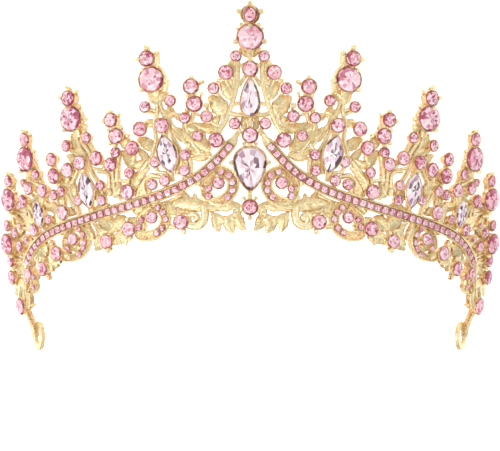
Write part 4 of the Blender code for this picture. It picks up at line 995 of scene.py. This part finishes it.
def ramp_material(name, attribute, span, stops, metallic, roughness, coat, grain=0.0, tint=None):
    """A finish whose colour follows an attribute, spread over a span, through a colour ramp.

    Where there is grain, a fine noise moves the place on the ramp and roughens the surface. A tint
    multiplies the colour as far as each stone's warmth tells.
    """
    material = bpy.data.materials.new(name)
    material.use_nodes = True
    tree = material.node_tree
    join = tree.links.new
    shader = tree.nodes["Principled BSDF"]
    set_inputs(shader, {"Metallic": metallic, "Roughness": roughness, "Coat Weight": coat,
                        "Coat Roughness": COAT_ROUGHNESS})
    value = new_node(tree, "ShaderNodeAttribute", {}, attribute_name=attribute)
    spread = new_node(tree, "ShaderNodeMapRange", {"From Min": span[0], "From Max": span[1]})
    ramp = new_node(tree, "ShaderNodeValToRGB", {})
    elements = ramp.color_ramp.elements
    elements.remove(elements[1])
    elements[0].position = stops[0][0]
    elements[0].color = (*stops[0][1], 1.0)
    for position, shade in stops[1:]:
        elements.new(position).color = (*shade, 1.0)
    join(value.outputs["Fac"], spread.inputs["Value"])
    if grain > 0:
        where = new_node(tree, "ShaderNodeTexCoord", {})
        noise = new_node(tree, "ShaderNodeTexNoise", {"Scale": 1.0 / GRAIN_SIZE, "Detail": 4.0})
        lower = new_node(tree, "ShaderNodeMath", {1: -GRAIN_SHARE / 2 - GRAIN_DARK}, operation="ADD")
        shake = new_node(tree, "ShaderNodeMath", {1: GRAIN_SHARE}, operation="MULTIPLY_ADD")
        bump = new_node(tree, "ShaderNodeBump", {"Strength": grain, "Distance": GRAIN_DEPTH})
        join(where.outputs["Object"], noise.inputs["Vector"])
        join(spread.outputs["Result"], lower.inputs[0])
        join(noise.outputs["Fac"], shake.inputs[0])
        join(lower.outputs["Value"], shake.inputs[2])
        join(shake.outputs["Value"], ramp.inputs["Fac"])
        join(noise.outputs["Fac"], bump.inputs["Height"])
        join(bump.outputs["Normal"], shader.inputs["Normal"])
    else:
        join(spread.outputs["Result"], ramp.inputs["Fac"])
    if tint is None:
        join(ramp.outputs["Color"], shader.inputs["Base Color"])
        return material
    warmth = new_node(tree, "ShaderNodeAttribute", {}, attribute_name="warmth")
    mix = new_node(tree, "ShaderNodeMix", {}, data_type="RGBA", blend_type="MULTIPLY")
    plain, tinted = [socket for socket in mix.inputs if socket.type == "RGBA"]
    tinted.default_value = (*tint, 1.0)
    join(warmth.outputs["Fac"], mix.inputs[0])
    join(ramp.outputs["Color"], plain)
    join([socket for socket in mix.outputs if socket.type == "RGBA"][0], shader.inputs["Base Color"])
    return material


def finish_of(kind):
    """The finish of a kind of part, made once from the values in the panel."""
    if kind in bpy.data.materials:
        return bpy.data.materials[kind]
    looks = bpy.context.scene.tiara_looks
    if kind == "gilt":
        # The gold's ramp by relief: painted shadow in the gaps, painted shade in the hollows, the gold,
        # then a painted highlight on the ridges
        stops = [(0.0, looks.seam_shadow_colour), (0.30, looks.recess_shade_colour), (0.58, looks.gold_colour),
                 (1.0, looks.ridge_highlight_colour)]
        return ramp_material(kind, "height", (-0.8, 1.6), stops, 0.65, looks.gold_roughness, 0.0, grain=0.9)
    if kind == "rose_crystal":
        # The pink ramp runs from deep facets up to a painted glint at its top
        stops = [(0.0, looks.pink_deep), (0.20, looks.pink_middle), (0.50, looks.pink_light),
                 (0.86, PINK_PAINTED_GLINT)]
        return ramp_material(kind, "tone", (0.0, 1.0), stops, 0.0, 0.12, CRYSTAL_COAT, tint=PINK_WARMTH)
    # The clear ramp runs from dark facets up to a painted glint at its top
    stops = [(0.05, looks.clear_deep), (0.20, looks.clear_middle), (0.42, looks.clear_light),
             (0.70, CLEAR_PAINTED_GLINT)]
    return ramp_material(kind, "tone", (0.0, 1.0), stops, 0.0, 0.10, CRYSTAL_COAT, tint=CLEAR_WARMTH)


def faceted(name, chunk, finish_name, slot, count=1):
    """A piece of so many stones of flat facets, each facet with a tone of its own."""
    piece = make_piece(name, [chunk], finish_of(finish_name), smooth=False)
    facet_tones(piece, len(piece.data.polygons) // count, finish_name == "clear_crystal")
    return piece


def gilded(name, chunks):
    """A smooth gilt piece."""
    piece = make_piece(name, chunks, finish_of("gilt"))
    return piece


def panel_colour(name, description, default):
    """A colour that the panel shows."""
    return bpy.props.FloatVectorProperty(
        name=name, description=description, default=default, subtype="COLOR", min=0, max=1)


class TiaraLooks(bpy.types.PropertyGroup):
    """Sizes, colours and finishes of the tiara and its studio."""
    row_stone: bpy.props.FloatProperty(
        name="Row stones", description="Size of the square stones in the two rows", default=2.3 * MM,
        min=0, precision=5, unit="LENGTH")
    rim_width: bpy.props.FloatProperty(
        name="Cup rims", description="Width of the thin rim round each large stone", default=0.34 * MM,
        min=0, precision=5, unit="LENGTH")
    gold_colour: panel_colour("Gold", "Colour of the gilt metal", (0.93, 0.75, 0.39))
    # Painted shade: the colour of the gold in its hollows
    recess_shade_colour: panel_colour("Recess shade", "Painted shade of the metal in its hollows", (0.81, 0.50, 0.25))
    # Painted shadow: the darkest stop of the gold, in the gap round each stone and along the darkest edges
    seam_shadow_colour: panel_colour("Seam shadow", "Painted shadow in the thin gap round each stone and along the darkest edges", (0.32, 0.12, 0.08))
    # Painted highlight: the colour of the gold on its ridges
    ridge_highlight_colour: panel_colour("Ridge highlight", "Painted highlight of the metal on its ridges", (1.0, 0.94, 0.66))
    gold_roughness: bpy.props.FloatProperty(
        name="Gold roughness", description="How dull the gilt metal is", default=0.34, subtype="FACTOR",
        min=0, max=1)
    pink_deep: panel_colour("Deep pink", "Darkest facets of the pink stones", (0.46, 0.10, 0.18))
    pink_middle: panel_colour("Rose", "Middle facets of the pink stones", (0.80, 0.37, 0.45))
    pink_light: panel_colour("Pale pink", "Lit facets of the pink stones", (0.97, 0.64, 0.71))
    clear_deep: panel_colour("Dark crystal", "Darkest facets of the clear stones", (0.12, 0.08, 0.11))
    clear_middle: panel_colour("Tinted crystal", "Middle facets of the clear stones", (0.55, 0.38, 0.46))
    clear_light: panel_colour("Bright crystal", "Lit facets of the clear stones", (0.90, 0.80, 0.86))
    floor_brightness: bpy.props.FloatProperty(
        name="Floor brightness", description="How strongly the pale floor glows", default=0.70, min=0)
    lamp_power: bpy.props.FloatProperty(
        name="Lamp power", description="Power of the main soft lamp", default=2.1, min=0, unit="POWER")


class TIARA_OT_main_stones(bpy.types.Operator):
    """Build the large cut stones, one piece for each"""
    bl_idname = "tiara.main_stones"
    bl_label = "Main stones"

    def execute(self, context):
        for node, seat, cut, lean in main_stones():
            clear = cut != "round"
            columns = 16 if clear or seat[3][0] > WIDE_STONE else 12
            piece = faceted("cut_" + node, stones(seat, cut, lean, columns), *(CLEAR if clear else ROSE))
            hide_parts(node)
        return {"FINISHED"}


class TIARA_OT_small_stones(bpy.types.Operator):
    """Build the small round stones and the tiny stones along the scrolls"""
    bl_idname = "tiara.small_stones"
    bl_label = "Small stones"

    def execute(self, context):
        seats = round_seats(SMALL_STONES, SMALL_GIRDLE)
        faceted("small_stones", stones(seats, columns=10), *ROSE, len(seats[0]))
        seats = round_seats(SCROLL_STONES, SCROLL_GIRDLE)
        faceted("scroll_stones", stones(seats, columns=8), *ROSE, len(seats[0]))
        return {"FINISHED"}


class TIARA_OT_stone_rows(bpy.types.Operator):
    """Build the two channels of small stones that sweep down from the centre"""
    bl_idname = "tiara.stone_rows"
    bl_label = "Stone rows"

    def execute(self, context):
        for side, sign in (("left", 1), ("right", -1)):
            channel, bars, seats, lean = stone_row(sign)
            piece = gilded("channel_" + side, [channel, bars])
            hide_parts("row_" + side)
            faceted("row_stones_" + side, stones(seats, "square", lean, columns=8), *ROSE, len(lean))
        return {"FINISHED"}


class TIARA_OT_bezels(bpy.types.Operator):
    """Build the cups, the prongs and the webs between them"""
    bl_idname = "tiara.bezels"
    bl_label = "Cups and prongs"

    def execute(self, context):
        looks = context.scene.tiara_looks
        chunks = []
        for node, seat, cut, lean in main_stones():
            foot, deep = (SPIRE_FOOT, INNER_DEPTH) if node.startswith("spire") else (ROUND_FOOT, FULL_DEPTH)
            if node.startswith(("spire_f", "spire_g", "spire_h")):
                deep = OUTER_DEPTH
            # Round stones get the full painted shadow in the gap round them, clear stones a lighter one
            seam_shadow = 1.0 if cut == "round" else CLEAR_SEAM_SHADOW
            chunks.append(cups(seat, looks.rim_width, cut, lean, foot, deep, seam_shadow=seam_shadow))
            if node == "stone_crest":
                turn, rise, girdle, width, height = seat
                collar = (turn, rise, girdle - COLLAR_DROP, width * COLLAR_WIDTH, height * COLLAR_HEIGHT)
                chunks.append(cups(collar, 0.5 * MM, foot=0.9))
        small = round_seats(SMALL_STONES, SMALL_GIRDLE)
        chunks.append(cups(small, 0.26 * MM, columns=10))
        chunks.append(cups(round_seats(SCROLL_STONES, SCROLL_GIRDLE), 0.2 * MM, foot=0.8, columns=8))
        prongs = placed(PRONGS, *PRONG_TOP)
        chunks.append(bead_row(*prongs))
        chunks.append(claws(*prongs, [seat for _, seat, _, _ in main_stones()] + [small]))
        for width, start, end in LINKS:
            chunks += [link(width, start, end, sign) for sign in sides_of([start, end])]
        gilded("cups_and_prongs", chunks)
        return {"FINISHED"}


class TIARA_OT_goldwork(bpy.types.Operator):
    """Build the leaves, stems, scrolls, bands and end loops"""
    bl_idname = "tiara.goldwork"
    bl_label = "Goldwork"

    def execute(self, context):
        leaves = gilded("leaves", [leaf(mark, sign) for mark in LEAVES for sign in HALVES])
        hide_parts("frame")
        gilded("stems", [stem(width, marks, sign) for width, marks in STEMS for sign in sides_of(marks)])
        gilded("leaf_bodies", [plate(mark, sign) for mark in PLATES for sign in HALVES])
        gilded("scrolls", [scroll(width, marks, sign) for width, marks in SCROLLS for sign in HALVES])
        course = [BAND_HEAD] + ROW_COURSE + [BAND_FOOT]
        gilded("bands", [stem(BAND_WIDTH, course, sign, rows=90, high=0.1, taper=0.4) for sign in HALVES])
        gilded("end_loops", [end_loop(sign) for sign in HALVES])
        return {"FINISHED"}


class TIARA_OT_studio(bpy.types.Operator):
    """Build the pale floor, the soft lamps and the camera"""
    bl_idname = "tiara.studio"
    bl_label = "Studio"

    def execute(self, context):
        looks = context.scene.tiara_looks
        mesh = bpy.data.meshes.new("floor")
        corners = [(-FLOOR_HALF, -FLOOR_HALF, 0), (FLOOR_HALF, -FLOOR_HALF, 0), (FLOOR_HALF, FLOOR_HALF, 0),
                   (-FLOOR_HALF, FLOOR_HALF, 0)]
        mesh.from_pydata(corners, [], [(0, 1, 2, 3)])
        floor = bpy.data.objects.new("floor", mesh)
        context.scene.collection.objects.link(floor)
        finish = bpy.data.materials.new("pale_floor")
        finish.use_nodes = True
        set_inputs(finish.node_tree.nodes["Principled BSDF"],
                   {"Base Color": FLOOR_COLOUR, "Roughness": 0.9, "Emission Color": FLOOR_GLOW,
                    "Emission Strength": looks.floor_brightness})
        mesh.materials.append(finish)
        world = bpy.data.worlds.new("studio")
        world.use_nodes = True
        set_inputs(world.node_tree.nodes["Background"], {"Color": ROOM_COLOUR, "Strength": ROOM_LIGHT})
        context.scene.world = world
        context.scene.view_settings.view_transform = "Standard"
        for name, spot, size, share in LAMPS:
            light = bpy.data.lights.new(name, "AREA")
            light.size = size
            light.energy = looks.lamp_power * share
            lamp = bpy.data.objects.new(name, light)
            lamp.location = spot
            lamp.rotation_euler = (Vector(LAMP_AIM) - Vector(spot)).to_track_quat("-Z", "Y").to_euler()
            context.scene.collection.objects.link(lamp)
        context.scene.camera = photo_camera(context)
        return {"FINISHED"}


def photo_camera(context):
    """A camera at the photograph's eye, aimed at the middle of its picture, with the crest upwards."""
    eye = laid(standing_eye())
    aim = laid(standing_eye() - VIEW_OUT * EYE_DISTANCE + VIEW_UP * (AXIS_ROW - PICTURE_HEIGHT / 2) * STEP)
    up = laid(standing_eye() + VIEW_UP) - eye
    back = unit(eye - aim)
    right = unit(np.cross(up, back))
    upright = np.cross(back, right)
    lens = bpy.data.cameras.new("photo_camera")
    lens.lens = FILM * EYE_DISTANCE / (PICTURE_WIDTH * STEP)
    lens.sensor_width = FILM
    lens.clip_start = 0.01
    camera = bpy.data.objects.new("photo_camera", lens)
    turn = Matrix([[right[i], upright[i], back[i]] for i in range(3)]).to_4x4()
    camera.matrix_world = Matrix.Translation(Vector(eye)) @ turn
    context.scene.collection.objects.link(camera)
    return camera


class TIARA_PT_panel(bpy.types.Panel):
    """The tiara's steps and looks"""
    bl_idname = "TIARA_PT_panel"
    bl_label = "Gilt tiara"
    bl_space_type = "VIEW_3D"
    bl_region_type = "UI"
    bl_category = "Tiara"

    def draw(self, context):
        for operator in STEPS:
            self.layout.operator(operator.bl_idname)
        looks = context.scene.tiara_looks
        for name in TiaraLooks.__annotations__:
            self.layout.prop(looks, name)


STEPS = (TIARA_OT_main_stones, TIARA_OT_small_stones, TIARA_OT_stone_rows, TIARA_OT_bezels,
         TIARA_OT_goldwork, TIARA_OT_studio)
CLASSES = (TiaraLooks,) + STEPS + (TIARA_PT_panel,)


def register():
    """Make the tiara's properties, steps and panel known to Blender."""
    for item in CLASSES:
        bpy.utils.register_class(item)
    bpy.types.Scene.tiara_looks = bpy.props.PointerProperty(type=TiaraLooks)


def unregister():
    """Take the tiara's properties, steps and panel out of Blender."""
    del bpy.types.Scene.tiara_looks
    for item in reversed(CLASSES):
        bpy.utils.unregister_class(item)


def main():
    """Build every piece in order."""
    register()
    bpy.ops.tiara.main_stones()
    bpy.ops.tiara.small_stones()
    bpy.ops.tiara.stone_rows()
    bpy.ops.tiara.bezels()
    bpy.ops.tiara.goldwork()
    bpy.ops.tiara.studio()


if __name__ == "__main__":
    main()
